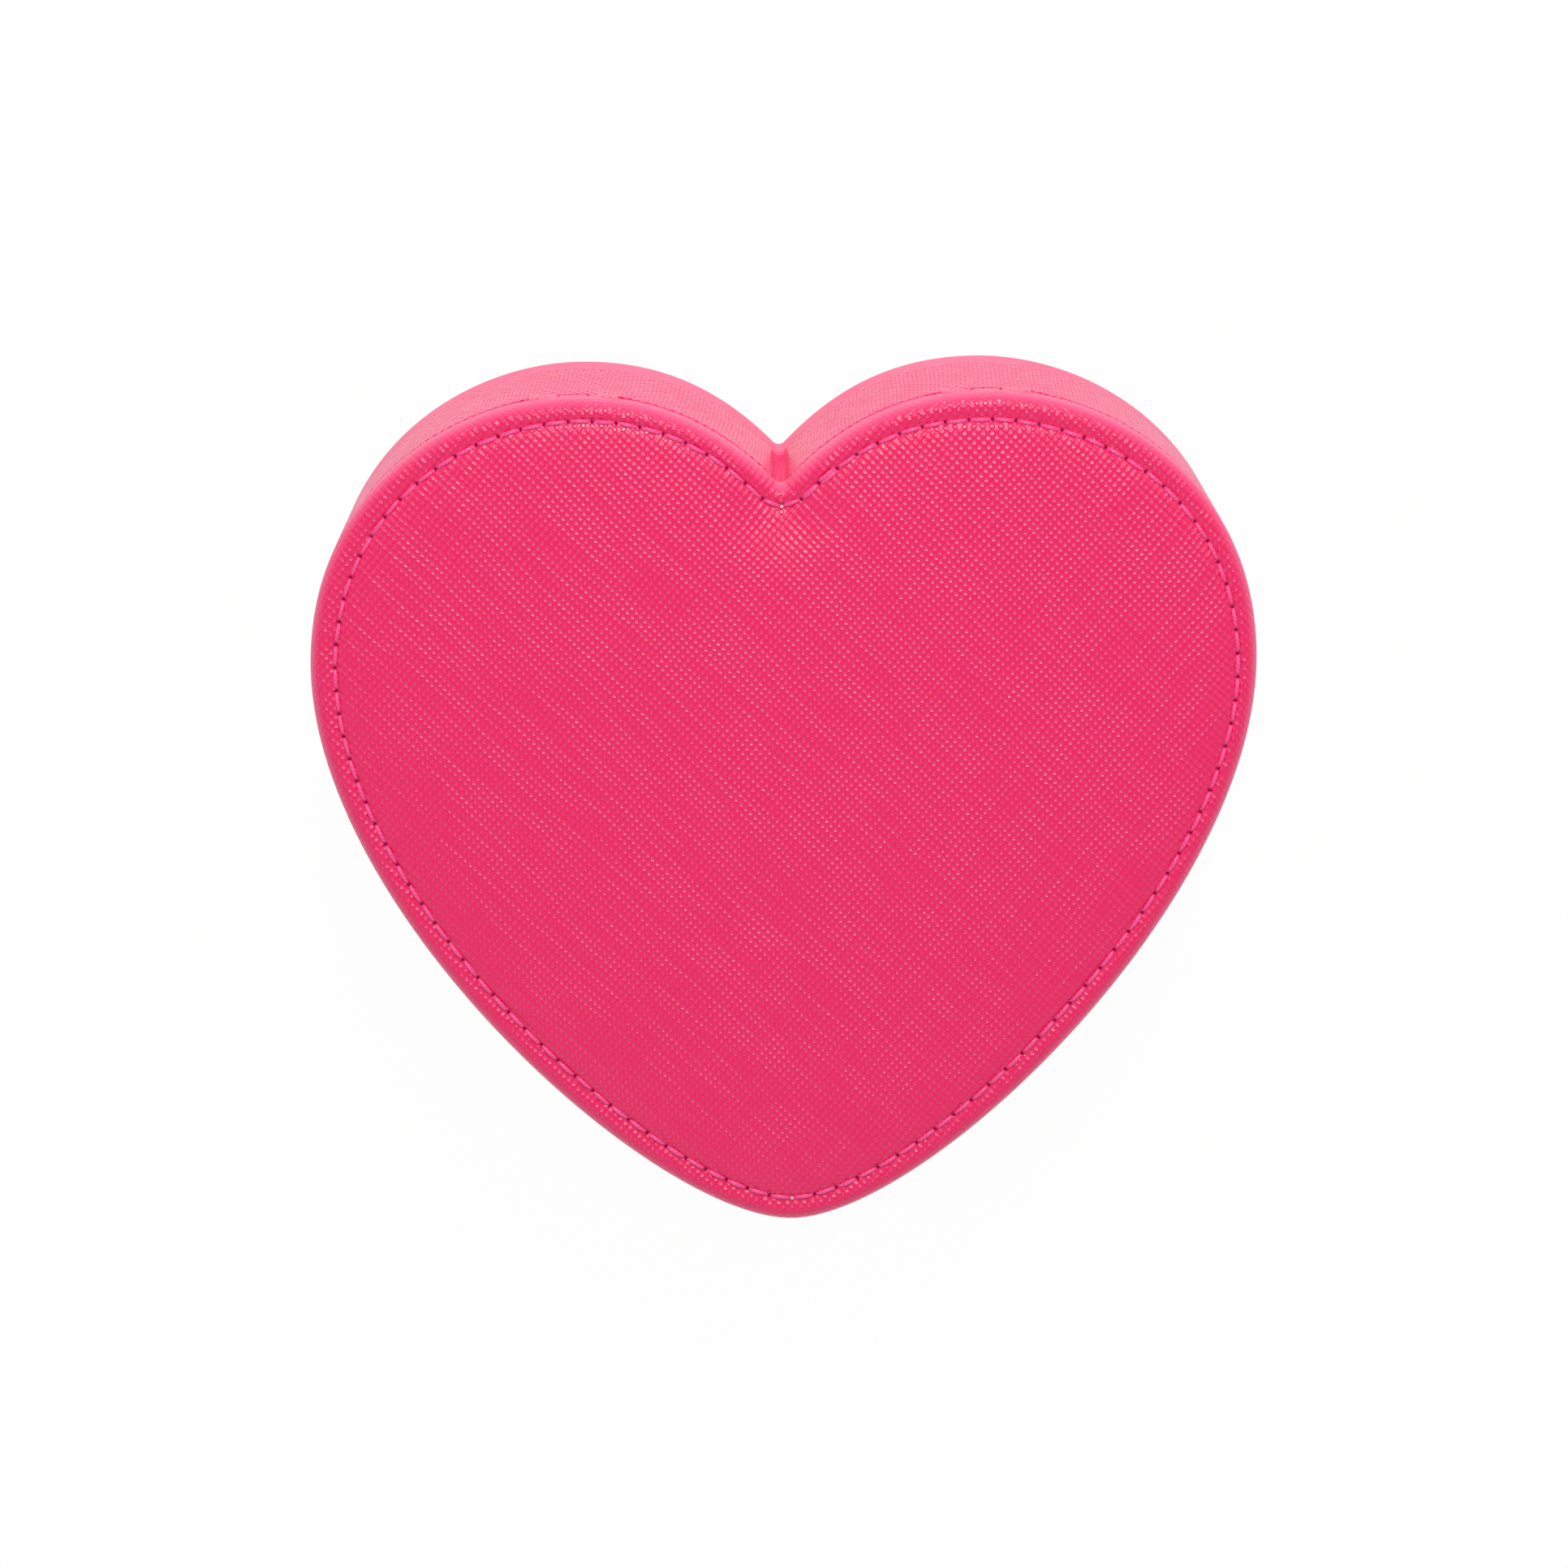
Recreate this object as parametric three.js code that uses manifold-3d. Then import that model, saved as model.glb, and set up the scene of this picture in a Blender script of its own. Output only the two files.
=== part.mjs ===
// A heart-shaped musical jewellery case: a padded, topstitched lid on a leatherette-covered heart tray,
// and a wind-up comb-and-cylinder movement under a clear cover inside it.
// Millimetres, +Z up. The origin is on the surface that the case stands on, at the middle of its outline.
// The lobes and the lid's hinges are towards +Y, the point of the heart is towards -Y.
import * as THREE from "three";
import { mergeVertices } from "three/addons/utils/BufferGeometryUtils.js";
import Module from "manifold-3d";

const wasm = await Module();
wasm.setup();

// ---------------------------------------------------------------------------------------------
// Driving dimensions
// ---------------------------------------------------------------------------------------------

// Heart outline: one half runs from the cleft over the lobe's crown and the widest point to the tip.
const HALF_WIDTH = 70;
const WIDEST_Y = 22.4;
const LOBE_X = 30.4;
const LOBE_Y = 62.3;
const CLEFT_Y = 48.5;
const TIP_Y = -62.3;
const CLEFT_SLOPE = THREE.MathUtils.degToRad(45.8);
const CLEFT_FILLET = 1.2;
// Lengths of the Bezier handles along the tangents at those points.
const HANDLE_CLEFT = 10.3;
const HANDLE_LOBE_IN = 13.4;
const HANDLE_LOBE_OUT = 18;
const HANDLE_WIDEST_UP = 26.6;
const HANDLE_WIDEST_DOWN = 37.2;
const HANDLE_TIP = 20.4;
const CLEFT_STEPS = 2;
const INNER_FLANK_STEPS = 4;
const LOBE_STEPS = 7;
const FLANK_STEPS = 9;

// Sheet and board thicknesses.
const LEATHERETTE = 1;
const GLUE = 0.1;
const WALL_BOARD = 3;
const VELVET = 1;
const UNDERSIDE_SUEDE = 0.6;
const BOTTOM_BOARD = 2.4;
const DECK_BOARD = 3;
const LID_BOARD = 2.4;

// Heights and edges of the tray.
const PLINTH_LIFT = 0.3;
const PLINTH_HEIGHT = 11;
const WELL_HEIGHT = 8.8;
const WELL_RADIUS = 19;
const WELL_WALL = 1.2;
const COVER_HEADROOM = 6.2;
const PARTING_GAP = 0.3;
const EDGE_ROLL = 2.4;

// Lid.
const LID_THICKNESS = 7;
const RIM_ROLL = 2.4;
const PILLOW_RISE = 0.4;
const PILLOW_INSET = 9;
const TURN_IN = 12;
const LINER_THICKNESS = 2;
const LINER_CLEARANCE = 1;
const MIRROR_SCALE = 0.6;
const MIRROR_THICKNESS = 1.1;
const MIRROR_SHIFT = -3;

// Hinges.
const HINGE_INSET = 1.2;
const HINGE_LENGTH = 13;
const KNUCKLE_RADIUS = 1.2;
const HINGE_PIN_RADIUS = 0.55;
const HINGE_RUNNING = 0.2;
const LEAF_THICKNESS = 0.6;
const LEAF_REACH = 3.3;
const KNUCKLE_GAP = 0.3;
const HINGE_POCKET = 0.3;

// Closing magnets at the point of the heart.
const MAGNET_RADIUS = 1.2;
const MAGNET_HEIGHT = 1.5;
const MAGNET_SINK = 0.8;

// Tray furniture.
const DIVIDER_THICKNESS = 3;
const DIVIDER_HEIGHT = 20;
const CUSHION_COUNT = 3;
const CUSHION_WIDTH = 9.4;
const CUSHION_PITCH = 10;
const CUSHION_HEIGHT = 15;
const SOFT_GAP = 0.4;
const TOP_FLAT = 0.1;

// Movement: its bedplate's centre, seen from above, and how far the plate reaches past what it carries.
const MOVEMENT_Y = 18;
const BED_END_MARGIN = 0.5;
const BED_BACK_MARGIN = 0.36;
const BED_APRON = 5.76;
const BED_THICKNESS = 2.2;
const BED_CORNER = 2.5;
const BED_SCREW_INSET = 3.7;
const BED_SCREW_SETBACK = 6.3;
const BOSS_RADIUS = 2.6;
const BOSS_HEIGHT = 2.4;
const BOSS_ENGAGEMENT = 1.4;
const COVER_WALL = 1.5;
const COVER_CLEARANCE = 1;
const COVER_TOP_CLEARANCE = 0.8;
const COVER_CORNER = 3;

// Spring barrel and its crown teeth, which drive the cylinder's pinion.
const CROWN_TEETH = 30;
const CROWN_PITCH_RADIUS = 13;
const CROWN_FACE = 1.6;
const CROWN_TOOTH_FILL = 1.05;
const CROWN_TOOTH_TAPER = 0.42;
const CROWN_BACKLASH = 0.45;
const WHEEL_LIFT = 0.4;
const WHEEL_THICKNESS = 1.6;
const DRUM_RADIUS = 9.7;
const DRUM_WALL = 0.8;
const DRUM_HEIGHT = 10.2;
const CAP_THICKNESS = 0.9;
const CAP_LEDGE = 0.3;
const BARREL_FLOOR = 0.8;
const TOOTH_ROOT = 0.2;
const PINION_TEETH = 10;
const ARBOR_RADIUS = 1.6;
const ARBOR_CORE = 2.4;
const ARBOR_PIVOT = 1.12;
const SPRING_TURNS = 5;
const SPRING_STRIP = 0.35;
const SPRING_CLEARANCE = 0.5;
const RUNNING = 0.15;
const ENDSHAKE = 0.3;

// Barrel bridge.
const BRIDGE_THICKNESS = 1.4;
const BRIDGE_CLEARANCE = 2.6;
const BRIDGE_HUB = 4.4;
const BRIDGE_FOOT = 2.6;
const BRIDGE_POST = 2.3;
const BRIDGE_FOOT_MARGIN = 0.2;
const BRIDGE_POST_CLEARANCE = 1.25;
const BRIDGE_POST_ANGLE = THREE.MathUtils.degToRad(-66.6);
const BRIDGE_SCREW_LENGTH = 3.6;
const COIL_WIRE = 0.6;
const COIL_TURNS = 3;
const COIL_CLEARANCE = 0.3;

// Winding key and the flanged bush above it.
const BUSH_RADIUS = 3.6;
const BUSH_FLANGE = 5.2;
const BUSH_FLANGE_THICKNESS = 1;
const KEY_SLEEVE = 2.7;
const KEY_GRIP = 4;
const KEY_SPAN = 19;
const KEY_WING_HEIGHT = 6.5;
const KEY_THICKNESS = 1.6;
const KEY_RECESS = 1.6;
const KEY_WAIST = 0.35;
const KEY_EYE = 0.5;

// Cylinder and comb.
const NOTE_COUNT = 18;
const NOTE_PITCH = 0.75;
const TOOTH_WIDTH = 0.56;
const CYLINDER_RADIUS = 6.2;
const CYLINDER_MARGIN = 0.35;
const CYLINDER_WALL = 1;
const END_RECESS = 0.6;
const PIN_HEIGHT = 0.5;
const PIN_SIZE = 0.3;
const PIN_ROOT = 0.4;
const PIN_STEPS = 32;
const SHAFT_RADIUS = 1;
const SHAFT_PIVOT = 0.8;
const ARCH_GAP = 0.6;
const ARCH_LEG = 2.4;
const ARCH_SHOULDER = 2;
const ARCH_CREST = 3;
const FIT = 0.1;
const PRESS_GAP = 0.05;
const HAIRLINE = 0.02;
const COMB_THICKNESS = 1;
const COMB_TIP_GAP = 0.25;
const COMB_BASS_LENGTH = 9.6;
const COMB_TREBLE_LENGTH = 6.6;
const COMB_MARGIN = 1.2;
const COMB_SEAT = 5;
const COMB_SCREW_INSET = 2.6;
const COMB_SCREW_LENGTH = 3.6;
const SCREW_SHANK = 0.9;
const SCREW_HEAD = 1.6;
const SCREW_HEAD_HEIGHT = 1;
const SCREW_SLOT = 0.35;
const THREAD_RUNOUT = 0.4;

// Gears finer than this have straight flanks.
const FINE_MODULE = 0.5;

// Governor: cylinder gear, pinion, worm wheel, worm and fan.
const GEAR_MODULE = 0.3828;
const GEAR_TEETH = 32;
const GEAR_WIDTH = 1.1;
const GEAR_BACKLASH = 0.12;
const GOVERNOR_PINION_TEETH = 8;
const GOVERNOR_RISE = THREE.MathUtils.degToRad(33.3);
const WORM_TEETH = 20;
const WORM_MODULE = 0.324;
const WORM_PITCH_RADIUS = 1.1;
const WORM_WHEEL_WIDTH = 1.6;
const WORM_LENGTH = 4.4;
const WORM_SHOULDER = 0.4;
const WORM_CREST = 0.22;
const WORM_ROOT_GAP = 0.06;
const WORM_BACKLASH = 0.24;
const THREAD_SINK = 0.15;
const THREAD_ROOT_HALF = 0.17;
const THREAD_CREST_HALF = 0.08;
const WORM_JOURNAL = 0.5;
const JOURNAL_DEPTH = 0.6;
const GOVERNOR_ARBOR = 0.6;
const GOVERNOR_STUB = 0.2;
const GOVERNOR_SCREW_LENGTH = 2.4;
const PLATE = 1;
const PLATE_EDGE = 0.8;
const PLATE_BEVEL = 2.2;
const PLATE_FRONT = 2.6;
const PLATE_CREST = 2.8;
const FOOT_REACH = 1.6;
const FRAME_GAP = 3.2;
const FAN_RADIUS = 3.4;
const FAN_HEIGHT = 5.6;
const FAN_BLADE = 0.5;
const FAN_HUB = 1.1;
const FAN_CLEARANCE = 0.2;
const AXIAL_GAP = 0.4;

// Stop plunger, pushed down by the closed lid.
const PLUNGER_RADIUS = 0.7;
const PLUNGER_HEAD = 2.2;
const PLUNGER_HEAD_HEIGHT = 1.2;
const PLUNGER_OFFSET = 2.75;
const PLUNGER_CLEARANCE = 0.3;
const PAD_RADIUS = 1;
const PAD_HEIGHT = 0.9;
const BRAKE_GAP = 0.3;
const LID_CONTACT_GAP = 0.3;
const PLUNGER_SPRING_WIRE = 0.4;
const PLUNGER_SPRING_RADIUS = 1.5;
const PLUNGER_SPRING_TURNS = 4;

// ---------------------------------------------------------------------------------------------
// Solids
// ---------------------------------------------------------------------------------------------

function toSolid(geometry) {
  const bare = geometry.clone();
  bare.deleteAttribute("normal");
  bare.deleteAttribute("uv");
  const merged = mergeVertices(bare, 1e-4);
  return new wasm.Manifold(
    new wasm.Mesh({
      numProp: 3,
      vertProperties: new Float32Array(merged.attributes.position.array),
      triVerts: new Uint32Array(merged.index.array),
    }),
  );
}

function toGeometry(solid) {
  const mesh = solid.getMesh();
  const geometry = new THREE.BufferGeometry();
  geometry.setAttribute("position", new THREE.BufferAttribute(new Float32Array(mesh.vertProperties), 3));
  geometry.setIndex(new THREE.BufferAttribute(new Uint32Array(mesh.triVerts), 1));
  geometry.computeVertexNormals();
  return geometry;
}

function combine(operation, first, others) {
  let solid = toSolid(first);
  for (const other of others) solid = solid[operation](toSolid(other));
  return toGeometry(solid);
}

const join = (first, ...others) => combine("add", first, others);
const cut = (first, ...others) => combine("subtract", first, others);
const common = (first, ...others) => combine("intersect", first, others);

// Number of sides that a round of this radius gets.
const facets = (radius) => Math.max(8, 4 * Math.round(2 * Math.sqrt(radius)));

const box = (x0, x1, y0, y1, z0, z1) =>
  new THREE.BoxGeometry(x1 - x0, y1 - y0, z1 - z0).translate((x0 + x1) / 2, (y0 + y1) / 2, (z0 + z1) / 2);

// Upright cylinder on the point (x, y), from z0 to z1.
const post = (x, y, radius, z0, z1) =>
  new THREE.CylinderGeometry(radius, radius, z1 - z0, facets(radius))
    .rotateX(Math.PI / 2)
    .translate(x, y, (z0 + z1) / 2);

// Cylinder along X on the point (y, z), from x0 to x1.
const bar = (y, z, radius, x0, x1) =>
  new THREE.CylinderGeometry(radius, radius, x1 - x0, facets(radius))
    .rotateZ(-Math.PI / 2)
    .translate((x0 + x1) / 2, y, z);

const extrude = (shape, depth, curveSegments = 3) =>
  new THREE.ExtrudeGeometry(shape, { depth, bevelEnabled: false, curveSegments });

// Shape drawn in (x, y), extruded from z0 to z1.
const slab = (shape, z0, z1, curveSegments) => extrude(shape, z1 - z0, curveSegments).translate(0, 0, z0);

// Shape drawn in (y, z), extruded from x0 to x1.
function slabX(shape, x0, x1, curveSegments) {
  const turn = new THREE.Matrix4().makeBasis(
    new THREE.Vector3(0, 1, 0),
    new THREE.Vector3(0, 0, 1),
    new THREE.Vector3(1, 0, 0),
  );
  return extrude(shape, x1 - x0, curveSegments).applyMatrix4(turn).translate(x0, 0, 0);
}

// Shape drawn in (x, z), extruded from y0 to y1.
const slabY = (shape, y0, y1, curveSegments) =>
  extrude(shape, y1 - y0, curveSegments).rotateX(Math.PI / 2).translate(0, y1, 0);

const polygon = (points) => new THREE.Shape(points.map(([x, y]) => new THREE.Vector2(x, y)));

// Turned piece on an upright axis through (x, y): the profile lists [radius, z] pairs.
function turned(profile, x, y) {
  const widest = Math.max(...profile.map(([radius]) => radius));
  const points = profile.map(([radius, z]) => new THREE.Vector2(radius, z));
  return new THREE.LatheGeometry(points, facets(widest)).rotateX(Math.PI / 2).translate(x, y, 0);
}

function roundedRectangle(x0, x1, y0, y1, radius) {
  const shape = new THREE.Shape();
  shape.moveTo(x0 + radius, y0);
  shape.absarc(x1 - radius, y0 + radius, radius, -Math.PI / 2, 0);
  shape.absarc(x1 - radius, y1 - radius, radius, 0, Math.PI / 2);
  shape.absarc(x0 + radius, y1 - radius, radius, Math.PI / 2, Math.PI);
  shape.absarc(x0 + radius, y0 + radius, radius, Math.PI, 1.5 * Math.PI);
  return shape;
}

// Outline of a strip with round ends of different radii, from point a to point b.
function link(a, radiusA, b, radiusB) {
  const heading = Math.atan2(b[1] - a[1], b[0] - a[0]);
  const spread = Math.acos((radiusA - radiusB) / Math.hypot(b[0] - a[0], b[1] - a[1]));
  const shape = new THREE.Shape();
  shape.absarc(a[0], a[1], radiusA, heading + spread, heading + 2 * Math.PI - spread);
  shape.absarc(b[0], b[1], radiusB, heading - spread, heading + spread);
  return shape;
}

function disc(x, y, radius) {
  const sides = facets(radius);
  const points = Array.from({ length: sides }, (_, i) => {
    const angle = (2 * Math.PI * i) / sides;
    return [x + radius * Math.cos(angle), y + radius * Math.sin(angle)];
  });
  return polygon(points);
}

// ---------------------------------------------------------------------------------------------
// Heart outline and sweeps round it
// ---------------------------------------------------------------------------------------------

// Stations of the right half of the outline, each with its outward normal.
function halfOutline() {
  const slope = new THREE.Vector2(Math.cos(CLEFT_SLOPE), Math.sin(CLEFT_SLOPE));
  const filletCentre = new THREE.Vector2(0, CLEFT_Y + CLEFT_FILLET / slope.x);
  const inward = new THREE.Vector2(slope.y, -slope.x);
  const start = filletCentre.clone().addScaledVector(inward, CLEFT_FILLET);
  const lobe = new THREE.Vector2(LOBE_X, LOBE_Y);
  const widest = new THREE.Vector2(HALF_WIDTH, WIDEST_Y);
  const tip = new THREE.Vector2(0, TIP_Y);
  const along = (point, x, y) => point.clone().add(new THREE.Vector2(x, y));
  const curves = [
    [start, start.clone().addScaledVector(slope, HANDLE_CLEFT), along(lobe, -HANDLE_LOBE_IN, 0), lobe],
    [lobe, along(lobe, HANDLE_LOBE_OUT, 0), along(widest, 0, HANDLE_WIDEST_UP), widest],
    [widest, along(widest, 0, -HANDLE_WIDEST_DOWN), along(tip, HANDLE_TIP, 0), tip],
  ];
  const steps = [INNER_FLANK_STEPS, LOBE_STEPS, FLANK_STEPS];
  const stations = [];
  for (let i = 0; i <= CLEFT_STEPS; i += 1) {
    const turn = (CLEFT_SLOPE * i) / CLEFT_STEPS;
    const outward = new THREE.Vector2(-Math.sin(turn), Math.cos(turn));
    stations.push({ point: filletCentre.clone().addScaledVector(outward, -CLEFT_FILLET), outward });
  }
  curves.forEach((points, index) => {
    const curve = new THREE.CubicBezierCurve(...points);
    for (let i = 1; i <= steps[index]; i += 1) {
      const tangent = curve.getTangent(i / steps[index]);
      const outward = new THREE.Vector2(-tangent.y, tangent.x);
      stations.push({ point: curve.getPoint(i / steps[index]), outward });
    }
  });
  return stations;
}

const OUTLINE = halfOutline();

// Closed loop, clockwise from the cleft, moved inwards by inset.
function heartLoop(inset) {
  const inwards = ({ point, outward }) => point.clone().addScaledVector(outward, -inset);
  const right = OUTLINE.map(inwards);
  right[0].x = 0;
  right[right.length - 1].x = 0;
  const left = right.slice(1, -1).map((point) => new THREE.Vector2(-point.x, point.y));
  return [...right, ...left.reverse()];
}

const heartShape = (inset) => new THREE.Shape(heartLoop(inset));
const heartPlate = (inset, z0, z1) => slab(heartShape(inset), z0, z1);

const heartSpread = heartLoop(0).length;

// Skin of loops stacked along a profile of [inset, z] pairs that climbs the outside.
function loftIndex(rows, closed) {
  const index = [];
  const last = closed ? rows : rows - 1;
  for (let j = 0; j < last; j += 1) {
    for (let k = 0; k < heartSpread; k += 1) {
      const next = (k + 1) % heartSpread;
      const low = j * heartSpread;
      const high = ((j + 1) % rows) * heartSpread;
      index.push(low + k, high + k, high + next, low + k, high + next, low + next);
    }
  }
  return index;
}

function loftGeometry(profile, index) {
  const ring = ([inset, z]) => heartLoop(inset).flatMap((point) => [point.x, point.y, z]);
  const positions = profile.flatMap(ring);
  const geometry = new THREE.BufferGeometry();
  geometry.setAttribute("position", new THREE.Float32BufferAttribute(positions, 3));
  geometry.setIndex(index);
  return geometry;
}

// Ring-shaped piece: the profile closes on itself.
const heartSweep = (profile) => loftGeometry(profile, loftIndex(profile.length, true));

// Plate-shaped piece: the first and last loops are capped flat.
function heartLoft(profile) {
  const index = loftIndex(profile.length, false);
  for (const [row, up] of [
    [0, false],
    [profile.length - 1, true],
  ]) {
    const loop = heartLoop(profile[row][0]);
    const base = row * heartSpread;
    for (const [a, b, c] of THREE.ShapeUtils.triangulateShape(loop, [])) {
      const area = loop[b].clone().sub(loop[a]).cross(loop[c].clone().sub(loop[a]));
      const facing = area > 0 === up ? [a, b, c] : [a, c, b];
      index.push(...facing.map((vertex) => base + vertex));
    }
  }
  return loftGeometry(profile, index);
}

// Quarter-round stretch of a profile about [inset, z], between two angles in degrees from +inset.
function roll(inset, z, radius, from, to, steps = 3) {
  return Array.from({ length: steps + 1 }, (_, i) => {
    const angle = THREE.MathUtils.degToRad(from + ((to - from) * i) / steps);
    return [inset + radius * Math.cos(angle), z + radius * Math.sin(angle)];
  });
}

// ---------------------------------------------------------------------------------------------
// Stack-up of heights and insets
// ---------------------------------------------------------------------------------------------

const boardInset = LEATHERETTE + GLUE;
const liningInset = boardInset + WALL_BOARD + GLUE;
const roomInset = liningInset + VELVET;

const bottomTop = UNDERSIDE_SUEDE + GLUE + BOTTOM_BOARD;
const deckBottom = bottomTop + WELL_HEIGHT + 2 * GLUE;
const deckTop = deckBottom + DECK_BOARD;
const floorTop = deckTop + GLUE + VELVET;

// Movement heights, from the deck's top.
const crownModule = (2 * CROWN_PITCH_RADIUS) / CROWN_TEETH;
const wheelBottom = BED_THICKNESS + WHEEL_LIFT;
const wheelTop = wheelBottom + WHEEL_THICKNESS;
const wheelRadius = CROWN_PITCH_RADIUS + CROWN_FACE / 2;
const barrelFloor = wheelBottom + BARREL_FLOOR;
const crownPitch = wheelTop + 1.25 * crownModule;
const pinionRadius = (crownModule * PINION_TEETH) / 2;
const axisW = crownPitch + pinionRadius;
const drumTop = wheelTop + DRUM_HEIGHT;
const bridgeBottom = drumTop + BRIDGE_CLEARANCE;
const bridgeTop = bridgeBottom + BRIDGE_THICKNESS;
const spurCentre = (GEAR_MODULE * (GEAR_TEETH + GOVERNOR_PINION_TEETH)) / 2;
const governorW = axisW + spurCentre * Math.sin(GOVERNOR_RISE);
const wormWheelRadius = (WORM_MODULE * WORM_TEETH) / 2;
const frameTop = governorW + wormWheelRadius + WORM_MODULE + AXIAL_GAP + PLATE;
const movementTop = Math.max(bridgeTop + SCREW_HEAD_HEIGHT, frameTop);
const coverTop = movementTop + COVER_TOP_CLEARANCE + COVER_WALL;

const parting = deckTop + coverTop + COVER_HEADROOM;
const wallTop = parting - PARTING_GAP / 2;
const lidBottom = parting + PARTING_GAP / 2;
const lidTop = lidBottom + LID_THICKNESS;
const linerBottom = lidBottom - GLUE - LINER_THICKNESS;

// Bedplate, as long and as wide as the train on it; u and v run from its middle.
const cylinderLength = NOTE_COUNT * NOTE_PITCH + 2 * CYLINDER_MARGIN;
const toothSlot = NOTE_PITCH - TOOTH_WIDTH;
const combDepth = COMB_SEAT + COMB_BASS_LENGTH + toothSlot;
const wheelsLength = 2 * wheelRadius + AXIAL_GAP + cylinderLength + FIT + GEAR_WIDTH + AXIAL_GAP;
const trainLength = wheelsLength + 2 * PLATE + FRAME_GAP;
const bedHalfLength = trainLength / 2 + BED_END_MARGIN;
const combSide = BED_APRON + combDepth + COMB_TIP_GAP + PIN_HEIGHT + CYLINDER_RADIUS;
const wormSide = spurCentre * Math.cos(GOVERNOR_RISE) + wormWheelRadius + WORM_PITCH_RADIUS;
const bedHalfWidth = (combSide + wormSide + FAN_RADIUS + BED_BACK_MARGIN) / 2;
const barrelU = BED_END_MARGIN + wheelRadius - bedHalfLength;
const axisV = combSide - bedHalfWidth;

// Stations along the cylinder and behind it.
const governorV = axisV + spurCentre * Math.cos(GOVERNOR_RISE);
const pinionU = barrelU + CROWN_PITCH_RADIUS - CROWN_FACE / 2;
const cylinderU = pinionU + CROWN_FACE + AXIAL_GAP;
const gearU = cylinderU + cylinderLength + FIT;
const plateU = gearU + GEAR_WIDTH + AXIAL_GAP;
const outerPlateU = plateU + PLATE + FRAME_GAP;
const wormU = plateU + PLATE + FRAME_GAP / 2;
const wormV = governorV + wormWheelRadius + WORM_PITCH_RADIUS;
const fanBottom = BED_THICKNESS + PLATE + AXIAL_GAP;
const fanTop = fanBottom + FAN_HEIGHT;
const plungerV = wormV + PLUNGER_OFFSET;

const coverHalfLength = bedHalfLength + COVER_CLEARANCE + COVER_WALL;
const coverHalfWidth = bedHalfWidth + COVER_CLEARANCE + COVER_WALL;

// Screws that hold the bedplate down, as [u, v], and the posts under the barrel bridge.
const screwPlaces = [
  [BED_SCREW_INSET - bedHalfLength, BED_SCREW_INSET - bedHalfWidth],
  [bedHalfLength - BED_SCREW_INSET, BED_SCREW_INSET - bedHalfWidth],
  [plateU - BED_SCREW_SETBACK, bedHalfWidth - BED_SCREW_INSET],
];
const footInset = BRIDGE_FOOT + BRIDGE_FOOT_MARGIN;
const postReach = wheelRadius + BRIDGE_FOOT + BRIDGE_POST_CLEARANCE;
const bridgePosts = [
  [footInset - bedHalfLength, bedHalfWidth - footInset],
  [barrelU + postReach * Math.cos(BRIDGE_POST_ANGLE), axisV + postReach * Math.sin(BRIDGE_POST_ANGLE)],
];

// ---------------------------------------------------------------------------------------------
// Scene graph
// ---------------------------------------------------------------------------------------------

const musicBox = new THREE.Group();
const tray = new THREE.Group();
const lid = new THREE.Group();
const movement = new THREE.Group();
movement.position.set(0, MOVEMENT_Y, deckTop);
musicBox.add(tray, lid, movement);

const finish = (color, roughness, metalness = 0) =>
  new THREE.MeshStandardMaterial({ color, roughness, metalness });
const pinkSaffiano = finish(0xe83c6b, 0.42);
const pinkSmooth = finish(0xf2577f, 0.5);
const greyBoard = finish(0x9c9488, 0.9);
const foam = finish(0xf0ead8, 0.95);
const pinkVelvet = finish(0xf3a9bf, 0.95);
const suede = finish(0xd64c72, 0.95);
const silvered = finish(0xe9eef0, 0.05, 1);
const pinkEnamel = finish(0xe04a78, 0.35, 0.2);
const brass = finish(0xc9a24b, 0.3, 1);
const zinc = finish(0xb9bcbf, 0.45, 0.9);
const steel = finish(0xc8ccd0, 0.28, 1);
const nylon = finish(0xf2f2ee, 0.5);
const felt = finish(0x3f6d4a, 0.95);
const magnetNickel = finish(0xbfc2c4, 0.3, 1);
const acrylic = finish(0xf4f8f9, 0.08);
acrylic.transparent = true;
acrylic.opacity = 0.3;

function add(group, name, geometry, material) {
  const mesh = new THREE.Mesh(geometry, material);
  mesh.name = name;
  group.add(mesh);
  return mesh;
}

// ---------------------------------------------------------------------------------------------
// Tray
// ---------------------------------------------------------------------------------------------

const wellX = barrelU;
const wellY = MOVEMENT_Y + axisV;
const hingeY = LOBE_Y - HINGE_INSET;
const hingePocketLength = HINGE_LENGTH + 2 * HINGE_RUNNING;
const magnetY = TIP_Y + boardInset + WALL_BOARD / 2;

// Space round both hinge barrels, taken out of every skin and board that they lie in.
const hingePockets = [-LOBE_X, LOBE_X].map((x) =>
  bar(
    hingeY,
    parting,
    KNUCKLE_RADIUS + HINGE_POCKET,
    x - hingePocketLength / 2,
    x + hingePocketLength / 2,
  ),
);

// Seats of the hinge leaves, let into the skin on one side of the parting plane.
const leafSeats = (zLow, zHigh) =>
  [-LOBE_X, LOBE_X].map((x) =>
    box(
      x - hingePocketLength / 2,
      x + hingePocketLength / 2,
      hingeY - LEAF_REACH - FIT,
      hingeY + HINGE_INSET,
      zLow,
      zHigh,
    ),
  );

function wallBoard() {
  const inner = boardInset + WALL_BOARD;
  const top = wallTop - LEATHERETTE - GLUE;
  const bottom = UNDERSIDE_SUEDE + GLUE;
  const edge = EDGE_ROLL - boardInset;
  const ring = heartSweep([
    [boardInset, bottom],
    ...roll(EDGE_ROLL, top - edge, edge, 180, 90, 2),
    [inner, top],
    [inner, bottom],
  ]);
  const pocketFloor = top - MAGNET_SINK - MAGNET_HEIGHT - FIT;
  const magnetPocket = post(0, magnetY, MAGNET_RADIUS + FIT, pocketFloor, top + GLUE);
  return cut(ring, magnetPocket, ...hingePockets);
}

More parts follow.
